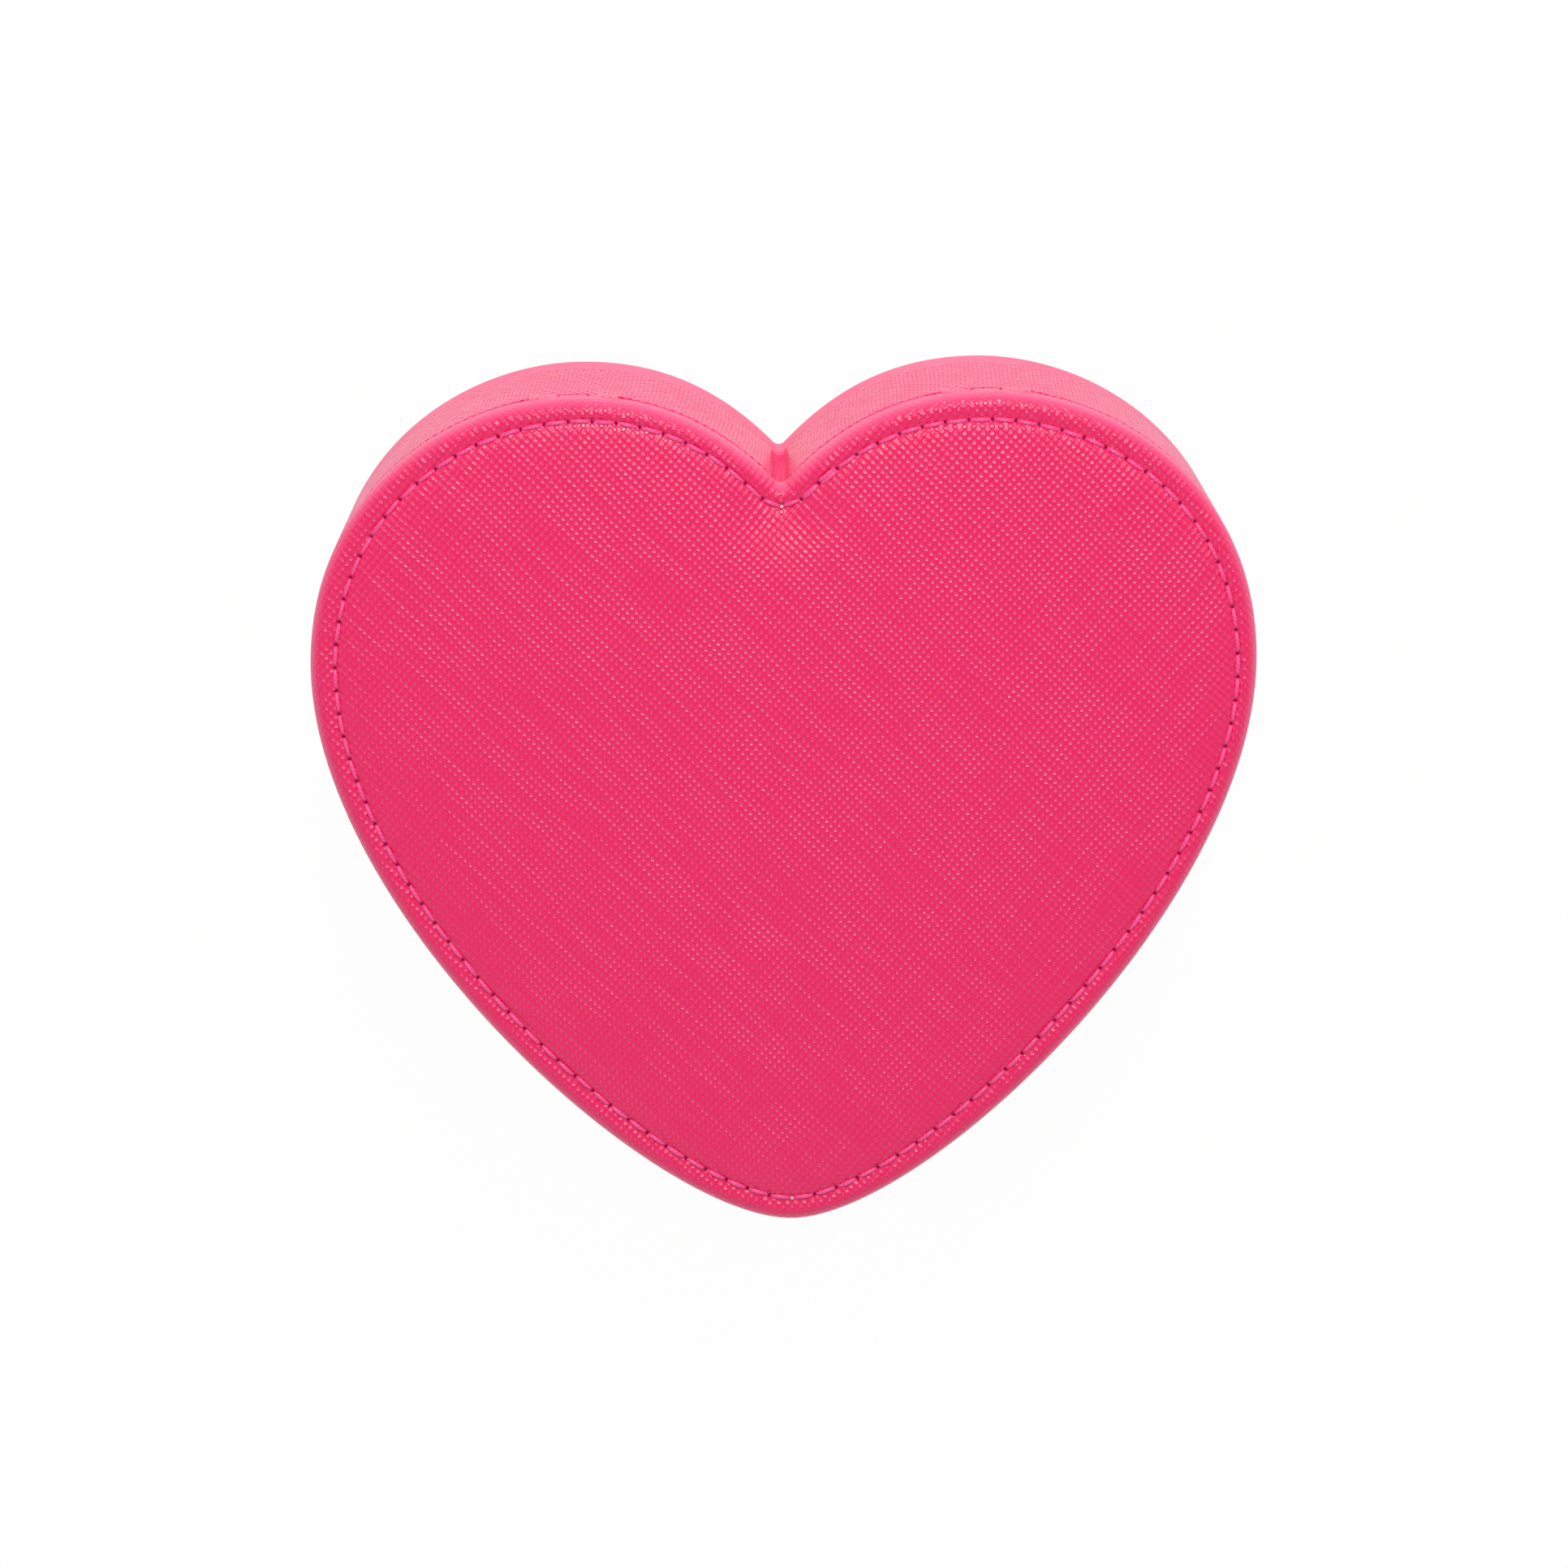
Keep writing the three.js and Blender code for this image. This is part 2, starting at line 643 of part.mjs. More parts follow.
function wallCover() {
  const inner = EDGE_ROLL - LEATHERETTE;
  const edge = wallTop - EDGE_ROLL;
  const skin = heartSweep([
    [0, PLINTH_HEIGHT],
    ...roll(EDGE_ROLL, edge, EDGE_ROLL, 180, 90),
    [roomInset, wallTop],
    [roomInset, wallTop - LEATHERETTE],
    ...roll(EDGE_ROLL, edge, inner, 90, 180, 2),
    [LEATHERETTE, PLINTH_HEIGHT],
  ]);
  return cut(skin, ...hingePockets, ...leafSeats(wallTop - LEAF_THICKNESS - GLUE, parting));
}

const straightRing = (outer, inner, z0, z1) =>
  heartSweep([
    [outer, z0],
    [outer, z1],
    [inner, z1],
    [inner, z0],
  ]);

function boredPlate(inset, z0, z1, radius) {
  const shape = heartShape(inset);
  shape.holes.push(disc(wellX, wellY, radius));
  return slab(shape, z0, z1);
}

function movementDeck() {
  const plate = heartPlate(boardInset + WALL_BOARD + GLUE, deckBottom, deckTop);
  const holes = screwPlaces.map(([u, v]) =>
    post(u, MOVEMENT_Y + v, SCREW_SHANK + FIT, deckBottom - 1, deckTop + 1),
  );
  return cut(plate, post(wellX, wellY, BUSH_RADIUS + FIT, deckBottom - 1, deckTop + 1), ...holes);
}

function floorLining() {
  const sheet = heartPlate(roomInset + GLUE, deckTop + GLUE, floorTop);
  const halfX = coverHalfLength + SOFT_GAP;
  const halfY = coverHalfWidth + SOFT_GAP;
  const opening = box(-halfX, halfX, MOVEMENT_Y - halfY, MOVEMENT_Y + halfY, deckTop - 1, floorTop + 1);
  return cut(sheet, opening);
}

// Upholstered bar across the tray with a round top, trimmed to the heart.
function crossBar(yFront, yBack, height, topRadius) {
  const top = floorTop + height - topRadius;
  const shape = new THREE.Shape();
  shape.moveTo(yFront, floorTop + GLUE);
  shape.lineTo(yBack, floorTop + GLUE);
  shape.absarc(yBack - topRadius, top, topRadius, 0, Math.PI / 2);
  shape.absarc(yFront + topRadius, top, topRadius, Math.PI / 2, Math.PI);
  const full = slabX(shape, -HALF_WIDTH, HALF_WIDTH, 4);
  return common(full, heartPlate(roomInset + SOFT_GAP, floorTop, wallTop));
}

const dividerBack = MOVEMENT_Y - coverHalfWidth - SOFT_GAP;
const dividerFront = dividerBack - DIVIDER_THICKNESS;

add(tray, "underside_lining", boredPlate(boardInset, 0, UNDERSIDE_SUEDE, WELL_RADIUS), suede);
add(
  tray,
  "bottom_panel",
  boredPlate(boardInset + WALL_BOARD + GLUE, UNDERSIDE_SUEDE + GLUE, bottomTop, WELL_RADIUS),
  greyBoard,
);
{
  const ring = disc(wellX, wellY, WELL_RADIUS + WELL_WALL);
  ring.holes.push(disc(wellX, wellY, WELL_RADIUS));
  add(tray, "key_well", slab(ring, bottomTop + GLUE, bottomTop + GLUE + WELL_HEIGHT), suede);
}
add(tray, "movement_deck", movementDeck(), greyBoard);
add(tray, "wall_board", wallBoard(), greyBoard);
add(tray, "plinth_band", straightRing(0, LEATHERETTE, PLINTH_LIFT, PLINTH_HEIGHT - GLUE), pinkSmooth);
add(tray, "wall_cover", wallCover(), pinkSaffiano);
add(
  tray,
  "wall_lining",
  straightRing(liningInset, roomInset, deckTop + GLUE, wallTop - LEATHERETTE - GLUE),
  pinkVelvet,
);
add(tray, "floor_lining", floorLining(), pinkVelvet);
add(
  tray,
  "front_divider",
  crossBar(dividerFront, dividerBack, DIVIDER_HEIGHT, (DIVIDER_THICKNESS - TOP_FLAT) / 2),
  pinkVelvet,
);
for (let i = 0; i < CUSHION_COUNT; i += 1) {
  const back = dividerFront - SOFT_GAP - i * CUSHION_PITCH;
  const cushion = crossBar(back - CUSHION_WIDTH, back, CUSHION_HEIGHT, (CUSHION_WIDTH - TOP_FLAT) / 2);
  add(tray, `ring_cushion_${i + 1}`, cushion, pinkVelvet);
}
{
  const top = wallTop - LEATHERETTE - GLUE - MAGNET_SINK;
  add(tray, "wall_magnet", post(0, magnetY, MAGNET_RADIUS, top - MAGNET_HEIGHT, top), magnetNickel);
}

// ---------------------------------------------------------------------------------------------
// Lid
// ---------------------------------------------------------------------------------------------

// The lid's section moved inwards by offset: rolled lower edge, padded rim and a low pillow.
function lidBody(offset) {
  const rise = lidTop - offset;
  return heartLoft([
    ...roll(EDGE_ROLL, lidBottom + EDGE_ROLL, EDGE_ROLL - offset, -90, -180, 2),
    ...roll(RIM_ROLL, lidTop - RIM_ROLL, RIM_ROLL - offset, 180, 90, 2),
    [PILLOW_INSET, rise + PILLOW_RISE],
  ]);
}

function lidCover() {
  const window = heartPlate(TURN_IN, lidBottom - 1, lidBottom + 2 * LEATHERETTE);
  const seats = leafSeats(parting, lidBottom + LEAF_THICKNESS + GLUE);
  return cut(lidBody(0), lidBody(LEATHERETTE), window, ...hingePockets, ...seats);
}

const lidBoardBottom = lidBottom + LEATHERETTE + GLUE;
const lidBoardTop = lidBoardBottom + LID_BOARD;
const lidCore = () => lidBody(LEATHERETTE + GLUE);

function lidBoard() {
  const magnetPocket = post(
    0,
    magnetY,
    MAGNET_RADIUS + FIT,
    lidBoardBottom - 1,
    lidBoardBottom + MAGNET_SINK + MAGNET_HEIGHT + FIT,
  );
  const stack = common(lidCore(), heartPlate(0, lidBottom, lidBoardTop));
  return cut(stack, magnetPocket, ...hingePockets);
}

const lidPadding = () => common(lidCore(), heartPlate(0, lidBoardTop + GLUE, lidTop + 2));

function scaledHeart(scale) {
  const place = (point) => new THREE.Vector2(point.x * scale, point.y * scale + MIRROR_SHIFT);
  return new THREE.Shape(heartLoop(0).map(place));
}

function lidLining() {
  const panel = heartPlate(roomInset + LINER_CLEARANCE, linerBottom, lidBottom - GLUE);
  const clearance = FIT / (MIRROR_SCALE * LOBE_X);
  const outline = scaledHeart(MIRROR_SCALE + clearance);
  const pocket = slab(outline, linerBottom - 1, linerBottom + MIRROR_THICKNESS + GLUE);
  return cut(panel, pocket);
}

add(lid, "lid_cover", lidCover(), pinkSaffiano);
add(lid, "lid_padding", lidPadding(), foam);
add(lid, "lid_board", lidBoard(), greyBoard);
add(lid, "lid_lining", lidLining(), pinkVelvet);
add(lid, "mirror", slab(scaledHeart(MIRROR_SCALE), linerBottom, linerBottom + MIRROR_THICKNESS), silvered);
add(
  lid,
  "lid_magnet",
  post(
    0,
    magnetY,
    MAGNET_RADIUS,
    lidBoardBottom + MAGNET_SINK,
    lidBoardBottom + MAGNET_SINK + MAGNET_HEIGHT,
  ),
  magnetNickel,
);

// ---------------------------------------------------------------------------------------------
// Hinges
// ---------------------------------------------------------------------------------------------

// One leaf: a plate on its side of the parting plane and the knuckles it carries.
function hingeLeaf(x, zLow, zHigh, ownSpans, otherSpans) {
  const barrel = ([from, to], radius) => bar(hingeY, parting, radius, x + from, x + to);
  const plate = box(
    x - HINGE_LENGTH / 2,
    x + HINGE_LENGTH / 2,
    hingeY - LEAF_REACH,
    hingeY,
    zLow,
    zHigh,
  );
  const relief = otherSpans.map(([from, to]) =>
    barrel([from - KNUCKLE_GAP, to + KNUCKLE_GAP], KNUCKLE_RADIUS + HINGE_RUNNING),
  );
  const relieved = cut(plate, ...relief);
  const knuckled = join(relieved, ...ownSpans.map((span) => barrel(span, KNUCKLE_RADIUS)));
  return cut(knuckled, barrel([-HINGE_LENGTH, HINGE_LENGTH], HINGE_PIN_RADIUS + HINGE_RUNNING));
}

const third = HINGE_LENGTH / 3;
const middleSpan = [[-third / 2 + KNUCKLE_GAP / 2, third / 2 - KNUCKLE_GAP / 2]];
const endSpans = [
  [-HINGE_LENGTH / 2, -third / 2 - KNUCKLE_GAP / 2],
  [third / 2 + KNUCKLE_GAP / 2, HINGE_LENGTH / 2],
];

for (const [side, x] of [
  ["left", -LOBE_X],
  ["right", LOBE_X],
]) {
  add(
    tray,
    `hinge_${side}_body_leaf`,
    hingeLeaf(x, wallTop - LEAF_THICKNESS, wallTop, endSpans, middleSpan),
    pinkEnamel,
  );
  add(
    tray,
    `hinge_${side}_pin`,
    bar(hingeY, parting, HINGE_PIN_RADIUS, x - HINGE_LENGTH / 2, x + HINGE_LENGTH / 2),
    steel,
  );
  add(
    lid,
    `hinge_${side}_lid_leaf`,
    hingeLeaf(x, lidBottom, lidBottom + LEAF_THICKNESS, middleSpan, endSpans),
    pinkEnamel,
  );
}

// ---------------------------------------------------------------------------------------------
// Gears
// ---------------------------------------------------------------------------------------------

// Spur gear outline on involute flanks; one tooth is centred on the heading angle.
function gearShape(teeth, module, heading, backlash) {
  const pitch = (module * teeth) / 2;
  const base = pitch * Math.cos(THREE.MathUtils.degToRad(20));
  const tip = pitch + module;
  const root = pitch - 1.25 * module;
  const involute = (radius) => {
    const angle = Math.acos(Math.min(1, base / radius));
    return Math.tan(angle) - angle;
  };
  const halfAtPitch = Math.PI / (2 * teeth) - backlash / (4 * pitch);
  const radii = module > FINE_MODULE ? [root, pitch, tip] : [root, tip];
  const half = (radius) => halfAtPitch + involute(pitch) - involute(Math.max(radius, base));
  const points = [];
  for (let i = 0; i < teeth; i += 1) {
    const centre = heading + (i * 2 * Math.PI) / teeth;
    for (const side of [-1, 1]) {
      const order = side < 0 ? radii : [...radii].reverse();
      for (const radius of order) {
        const angle = centre + side * half(radius);
        points.push([radius * Math.cos(angle), radius * Math.sin(angle)]);
      }
    }
  }
  const apart = ([x, y], i) => i === 0 || Math.hypot(x - points[i - 1][0], y - points[i - 1][1]) > 1e-3;
  return polygon(points.filter(apart));
}

function moved(shape, x, y) {
  return new THREE.Shape(shape.getPoints().map((point) => new THREE.Vector2(point.x + x, point.y + y)));
}

// Spur gear on an axis along X.
function spurGear(teeth, module, heading, backlash, v, w, u0, u1, bore) {
  const shape = moved(gearShape(teeth, module, heading, backlash), v, w);
  shape.holes.push(disc(v, w, bore));
  return slabX(shape, u0, u1);
}

// ---------------------------------------------------------------------------------------------
// Movement: bedplate, barrel and winding
// ---------------------------------------------------------------------------------------------

const combTip = axisV - CYLINDER_RADIUS - PIN_HEIGHT - COMB_TIP_GAP;
const combBack = combTip - combDepth;
const combLeft = cylinderU + CYLINDER_MARGIN - COMB_MARGIN;
const combRight = combLeft + NOTE_COUNT * NOTE_PITCH + 2 * COMB_MARGIN;
const combBottom = axisW - COMB_THICKNESS / 2;
const combScrews = [combLeft + COMB_SCREW_INSET, combRight - COMB_SCREW_INSET].map((u) => [
  u,
  combBack + COMB_SEAT / 2,
]);
const governorScrew = [wormU, axisV];

function bedplate() {
  const outline = roundedRectangle(-bedHalfLength, bedHalfLength, -bedHalfWidth, bedHalfWidth, BED_CORNER);
  const plate = slab(outline, 0, BED_THICKNESS, 2);
  const overlap = BED_THICKNESS / 2;
  const seat = box(combLeft, combRight, combBack, combBack + COMB_SEAT, overlap, combBottom);
  const bosses = screwPlaces.map(([u, v]) => post(u, v, BOSS_RADIUS, overlap, BED_THICKNESS + BOSS_HEIGHT));
  const hole = ([u, v], z0, z1) => post(u, v, SCREW_SHANK + FIT, z0, z1);
  const bossTop = BED_THICKNESS + BOSS_ENGAGEMENT + THREAD_RUNOUT;
  const bossHoles = screwPlaces.map((place) => hole(place, -1, bossTop));
  const combThread = combBottom + COMB_THICKNESS - COMB_SCREW_LENGTH - THREAD_RUNOUT;
  const combHoles = combScrews.map((place) => hole(place, combThread, combBottom + 1));
  const through = [...bridgePosts, governorScrew].map((place) => hole(place, -1, BED_THICKNESS + 1));
  const arborHole = post(barrelU, axisV, ARBOR_RADIUS + RUNNING, -1, BED_THICKNESS + 1);
  return cut(join(plate, seat, ...bosses), arborHole, ...bossHoles, ...combHoles, ...through);
}

function springBarrel() {
  const bore = ARBOR_RADIUS + RUNNING;
  const wallInner = DRUM_RADIUS - DRUM_WALL;
  const capLedge = drumTop - CAP_THICKNESS;
  const profile = [
    [bore, wheelBottom],
    [wheelRadius, wheelBottom],
    [wheelRadius, wheelTop],
    [DRUM_RADIUS, wheelTop],
    [DRUM_RADIUS, drumTop],
    [wallInner + CAP_LEDGE, drumTop],
    [wallInner + CAP_LEDGE, capLedge],
    [wallInner, capLedge],
    [wallInner, barrelFloor],
    [bore, barrelFloor],
    [bore, wheelBottom],
  ];
  const drum = turned(profile, barrelU, axisV);
  // Each crown tooth tapers towards its top; a gap, not a tooth, faces the pinion.
  const angular = Math.PI / CROWN_TEETH;
  const teeth = [];
  for (let i = 0; i < CROWN_TEETH; i += 1) {
    const wide = CROWN_PITCH_RADIUS * angular * CROWN_TOOTH_FILL;
    const narrow = wide * CROWN_TOOTH_TAPER;
    const section = polygon([
      [-wide / 2, wheelTop - TOOTH_ROOT],
      [wide / 2, wheelTop - TOOTH_ROOT],
      [narrow / 2, crownPitch + crownModule],
      [-narrow / 2, crownPitch + crownModule],
    ]);
    const tooth = slabX(section, wheelRadius - CROWN_FACE, wheelRadius - PRESS_GAP, 1);
    teeth.push(tooth.rotateZ((2 * i + 1) * angular).translate(barrelU, axisV, 0));
  }
  return join(drum, ...teeth);
}

function mainspring() {
  const inner = ARBOR_CORE + SPRING_CLEARANCE;
  const outer = DRUM_RADIUS - DRUM_WALL - SPRING_CLEARANCE;
  const steps = SPRING_TURNS * 12;
  const side = (offset) =>
    Array.from({ length: steps + 1 }, (_, i) => {
      const angle = (i / 12) * 2 * Math.PI;
      const radius = inner + ((outer - SPRING_STRIP - inner) * i) / steps + offset;
      return [barrelU + radius * Math.cos(angle), axisV + radius * Math.sin(angle)];
    });
  const outline = polygon([...side(SPRING_STRIP), ...side(0).reverse()]);
  return slab(outline, barrelFloor + AXIAL_GAP, drumTop - CAP_THICKNESS - AXIAL_GAP, 1);
}

function barrelCap() {
  const ring = disc(barrelU, axisV, DRUM_RADIUS - DRUM_WALL + CAP_LEDGE - FIT);
  ring.holes.push(disc(barrelU, axisV, ARBOR_RADIUS + RUNNING));
  return slab(ring, drumTop - CAP_THICKNESS + HAIRLINE, drumTop);
}

// Winding arbor, from inside the key's sleeve up to its pivot in the bridge.
const keyBottom = KEY_RECESS - deckTop;
const sleeveTop = -DECK_BOARD - BUSH_FLANGE_THICKNESS - AXIAL_GAP;
const arborBottom = sleeveTop - KEY_GRIP;

function windingArbor() {
  const coreBottom = barrelFloor + ENDSHAKE;
  const coreTop = drumTop - CAP_THICKNESS - ENDSHAKE;
  const shoulder = bridgeBottom - AXIAL_GAP / 2;
  const profile = [
    [0, arborBottom],
    [ARBOR_RADIUS, arborBottom],
    [ARBOR_RADIUS, coreBottom],
    [ARBOR_CORE, coreBottom],
    [ARBOR_CORE, coreTop],
    [ARBOR_RADIUS, coreTop],
    [ARBOR_RADIUS, shoulder],
    [ARBOR_PIVOT, shoulder],
    [ARBOR_PIVOT, bridgeTop],
    [0, bridgeTop],
  ];
  return turned(profile, barrelU, axisV);
}

function windingKey() {
  const wing = new THREE.Shape();
  const halfSpan = KEY_SPAN / 2;
  const r = KEY_WING_HEIGHT / 2;
  const mid = keyBottom + r;
  wing.moveTo(-halfSpan + r, mid - r);
  wing.quadraticCurveTo(0, mid - KEY_WAIST * r, halfSpan - r, mid - r);
  wing.absarc(halfSpan - r, mid, r, -Math.PI / 2, Math.PI / 2);
  wing.quadraticCurveTo(0, mid + KEY_WAIST * r, -halfSpan + r, mid + r);
  wing.absarc(-halfSpan + r, mid, r, Math.PI / 2, 1.5 * Math.PI);
  for (const side of [-1, 1]) wing.holes.push(disc(side * (halfSpan - r), mid, KEY_EYE * r));
  const handle = slabY(wing, -KEY_THICKNESS / 2, KEY_THICKNESS / 2, 4);
  const sleeve = post(0, 0, KEY_SLEEVE, mid, sleeveTop);
  const bore = post(0, 0, ARBOR_RADIUS + FIT, arborBottom - FIT, sleeveTop + 1);
  return cut(join(handle, sleeve), bore).translate(barrelU, axisV, 0);
}

// Flanged bush that lines the arbor's hole in the deck board.
function arborBush() {
  const bore = ARBOR_RADIUS + RUNNING;
  const low = -DECK_BOARD - BUSH_FLANGE_THICKNESS;
  const profile = [
    [bore, low],
    [BUSH_FLANGE, low],
    [BUSH_FLANGE, -DECK_BOARD - HAIRLINE],
    [BUSH_RADIUS, -DECK_BOARD - HAIRLINE],
    [BUSH_RADIUS, -HAIRLINE],
    [bore, -HAIRLINE],
    [bore, low],
  ];
  return turned(profile, barrelU, axisV);
}

function barrelBridge() {
  const hub = [barrelU, axisV];
  const arm = (place) => slab(link(hub, BRIDGE_HUB, place, BRIDGE_FOOT), bridgeBottom, bridgeTop, 4);
  const middle = (bridgeBottom + bridgeTop) / 2;
  const posts = bridgePosts.map(([u, v]) => post(u, v, BRIDGE_POST, BED_THICKNESS, middle));
  const threadEnd = bridgeTop - BRIDGE_SCREW_LENGTH - THREAD_RUNOUT;
  const screwHoles = bridgePosts.map(([u, v]) => post(u, v, SCREW_SHANK + FIT, threadEnd, bridgeTop + 1));
  const pivot = post(...hub, ARBOR_PIVOT + RUNNING, bridgeBottom - 1, bridgeTop + 1);
  return cut(join(arm(bridgePosts[0]), arm(bridgePosts[1]), ...posts), pivot, ...screwHoles);
}

// Round wire wound in a helix about the axis at (x, y).
function coil(x, y, radius, wire, turns, z0, z1) {
  class Helix extends THREE.Curve {
    getPoint(t, target = new THREE.Vector3()) {
      const angle = 2 * Math.PI * turns * t;
      const z = z0 + wire / 2 + (z1 - z0 - wire) * t;
      return target.set(x + radius * Math.cos(angle), y + radius * Math.sin(angle), z);
    }
  }
  const section = polygon([[0, -wire / 2], [wire / 2, 0], [0, wire / 2], [-wire / 2, 0]]);
  return new THREE.ExtrudeGeometry(section, {
    extrudePath: new Helix(),
    steps: turns * 10,
    curveSegments: 1,
    bevelEnabled: false,
  });
}

// Cheese-head screw with a slot, standing on z.
function screw(u, v, z, shankLength, headRadius = SCREW_HEAD) {
  const head = post(u, v, headRadius, z, z + SCREW_HEAD_HEIGHT);
  const shank = post(u, v, SCREW_SHANK, z - shankLength, z + SCREW_HEAD_HEIGHT / 2, 10);
  const slotTop = z + SCREW_HEAD_HEIGHT + 1;
  const slot = box(
    u - headRadius - 1,
    u + headRadius + 1,
    v - SCREW_SLOT / 2,
    v + SCREW_SLOT / 2,
    z + SCREW_HEAD_HEIGHT / 2,
    slotTop,
  );
  return cut(join(head, shank), slot);
}

add(movement, "bedplate", bedplate(), zinc);
add(movement, "spring_barrel", springBarrel(), brass);
add(movement, "mainspring", mainspring(), steel);
add(movement, "barrel_cap", barrelCap(), brass);
add(movement, "winding_arbor", windingArbor(), steel);
add(movement, "winding_key", windingKey(), steel);
add(movement, "arbor_bush", arborBush(), nylon);
add(movement, "barrel_bridge", barrelBridge(), zinc);
{
  const radius = ARBOR_RADIUS + COIL_CLEARANCE + COIL_WIRE / 2;
  const low = drumTop + COIL_CLEARANCE;
  add(
    movement,
    "one_way_spring",
    coil(barrelU, axisV, radius, COIL_WIRE, COIL_TURNS, low, bridgeBottom - FIT),
    steel,
  );
}
bridgePosts.forEach(([u, v], i) => {
  add(movement, `bridge_screw_${i + 1}`, screw(u, v, bridgeTop, BRIDGE_SCREW_LENGTH), steel);
});
screwPlaces.forEach(([u, v], i) => {
  const deckScrew = screw(u, v, 0, DECK_BOARD + BED_THICKNESS + BOSS_ENGAGEMENT).rotateX(Math.PI);
  add(movement, `deck_screw_${i + 1}`, deckScrew.translate(0, 2 * v, -DECK_BOARD), steel);
});

// ---------------------------------------------------------------------------------------------
// Movement: cylinder and comb
// ---------------------------------------------------------------------------------------------

// Plate on two legs that arches over the great wheel and carries the cylinder's left pivot.
function cylinderBridge() {
  const u1 = pinionU - ARCH_GAP;
  const u0 = barrelU + DRUM_RADIUS + ARCH_GAP / 2;
  const reach = Math.sqrt(wheelRadius ** 2 - (u0 - barrelU) ** 2) + AXIAL_GAP;
  const foot = reach + ARCH_LEG;
  const underside = crownPitch + crownModule + AXIAL_GAP;
  const crest = axisW + ARCH_CREST;
  const shoulder = underside + ARCH_SHOULDER;
  const shape = polygon([
    [axisV - foot, BED_THICKNESS],
    [axisV - reach, BED_THICKNESS],
    [axisV - reach, underside],
    [axisV + reach, underside],
    [axisV + reach, BED_THICKNESS],
    [axisV + foot, BED_THICKNESS],
    [axisV + foot, shoulder],
    [axisV + ARCH_CREST, crest],
    [axisV - ARCH_CREST, crest],
    [axisV - foot, shoulder],
  ]);
  shape.holes.push(disc(axisV, axisW, SHAFT_RADIUS + RUNNING));
  return slabX(shape, u0, u1);
}

// Notes round the cylinder: each track has pins at the steps where its tooth sounds.
function cylinder() {
  const bore = SHAFT_RADIUS + FIT;
  const rim = CYLINDER_RADIUS - CYLINDER_WALL;
  const profile = [
    [bore, END_RECESS],
    [rim, END_RECESS],
    [rim, 0],
    [CYLINDER_RADIUS, 0],
    [CYLINDER_RADIUS, cylinderLength],
    [rim, cylinderLength],
    [rim, cylinderLength - END_RECESS],
    [bore, cylinderLength - END_RECESS],
    [bore, END_RECESS],
  ];
  const drum = turned(profile, 0, 0).rotateY(Math.PI / 2).translate(cylinderU, axisV, axisW);
  const pins = [];
  for (let step = 0; step < PIN_STEPS; step += 1) {
    const phrase = step % 8;
    const melody = (phrase * 5 + Math.floor(step / 8) * 3) % NOTE_COUNT;
    const bass = (phrase * 7 + 11) % NOTE_COUNT;
    const notes = step % 4 === 0 ? [melody, bass] : [melody];
    for (const note of new Set(notes)) {
      const u = cylinderU + CYLINDER_MARGIN + (note + 0.5) * NOTE_PITCH;
      const pin = box(
        u - PIN_SIZE / 2,
        u + PIN_SIZE / 2,
        -PIN_SIZE / 2,
        PIN_SIZE / 2,
        CYLINDER_RADIUS - PIN_ROOT,
        CYLINDER_RADIUS + PIN_HEIGHT,
      );
      const angle = ((step + 0.5) * 2 * Math.PI) / PIN_STEPS;
      pins.push(pin.rotateX(angle).translate(0, axisV, axisW));
    }
  }
  return join(drum, ...pins);
}

function comb() {
  const points = [
    [combRight, combBack],
    [combRight, combTip - COMB_TREBLE_LENGTH],
  ];
  for (let i = NOTE_COUNT - 1; i >= 0; i -= 1) {
    const centre = cylinderU + CYLINDER_MARGIN + (i + 0.5) * NOTE_PITCH;
    const share = i / (NOTE_COUNT - 1);
    const length = COMB_BASS_LENGTH + (COMB_TREBLE_LENGTH - COMB_BASS_LENGTH) * share;
    points.push([centre + TOOTH_WIDTH / 2, combTip - length]);
    points.push([centre + TOOTH_WIDTH / 2, combTip]);
    points.push([centre - TOOTH_WIDTH / 2, combTip]);
    points.push([centre - TOOTH_WIDTH / 2, combTip - length]);
  }
  points.push([combLeft, combTip - COMB_BASS_LENGTH - toothSlot]);
  points.push([combLeft, combBack]);
  const plate = slab(polygon(points), combBottom + HAIRLINE, combBottom + COMB_THICKNESS, 1);
  const holes = combScrews.map(([u, v]) => post(u, v, SCREW_SHANK + FIT, combBottom - 1, combBottom + 3));
  return cut(plate, ...holes);
}

const shaftLeft = pinionU - ARCH_GAP - SHAFT_PIVOT;
const shaftRight = plateU + PLATE - FIT;

add(movement, "cylinder_bridge", cylinderBridge(), zinc);
add(movement, "cylinder", cylinder(), brass);
add(movement, "cylinder_shaft", bar(axisV, axisW, SHAFT_RADIUS, shaftLeft, shaftRight), steel);
add(
  movement,
  "drive_pinion",
  spurGear(
    PINION_TEETH,
    crownModule,
    -Math.PI / 2,
    CROWN_BACKLASH,
    axisV,
    axisW,
    pinionU,
    pinionU + CROWN_FACE,
    SHAFT_RADIUS + FIT,
  ),
  brass,
);
add(
  movement,
  "cylinder_gear",
  spurGear(
    GEAR_TEETH,
    GEAR_MODULE,
    GOVERNOR_RISE,
    GEAR_BACKLASH,
    axisV,
    axisW,
    gearU,
    gearU + GEAR_WIDTH,
    SHAFT_RADIUS + FIT,
  ),
  brass,
);
add(movement, "comb", comb(), steel);
combScrews.forEach(([u, v], i) => {
  const combTop = combBottom + COMB_THICKNESS + HAIRLINE;
  add(movement, `comb_screw_${i + 1}`, screw(u, v, combTop, COMB_SCREW_LENGTH), steel);
});

// ---------------------------------------------------------------------------------------------
// Movement: governor
// ---------------------------------------------------------------------------------------------

const frameFoot = BED_THICKNESS + PLATE;
const journalBottom = frameFoot - JOURNAL_DEPTH;

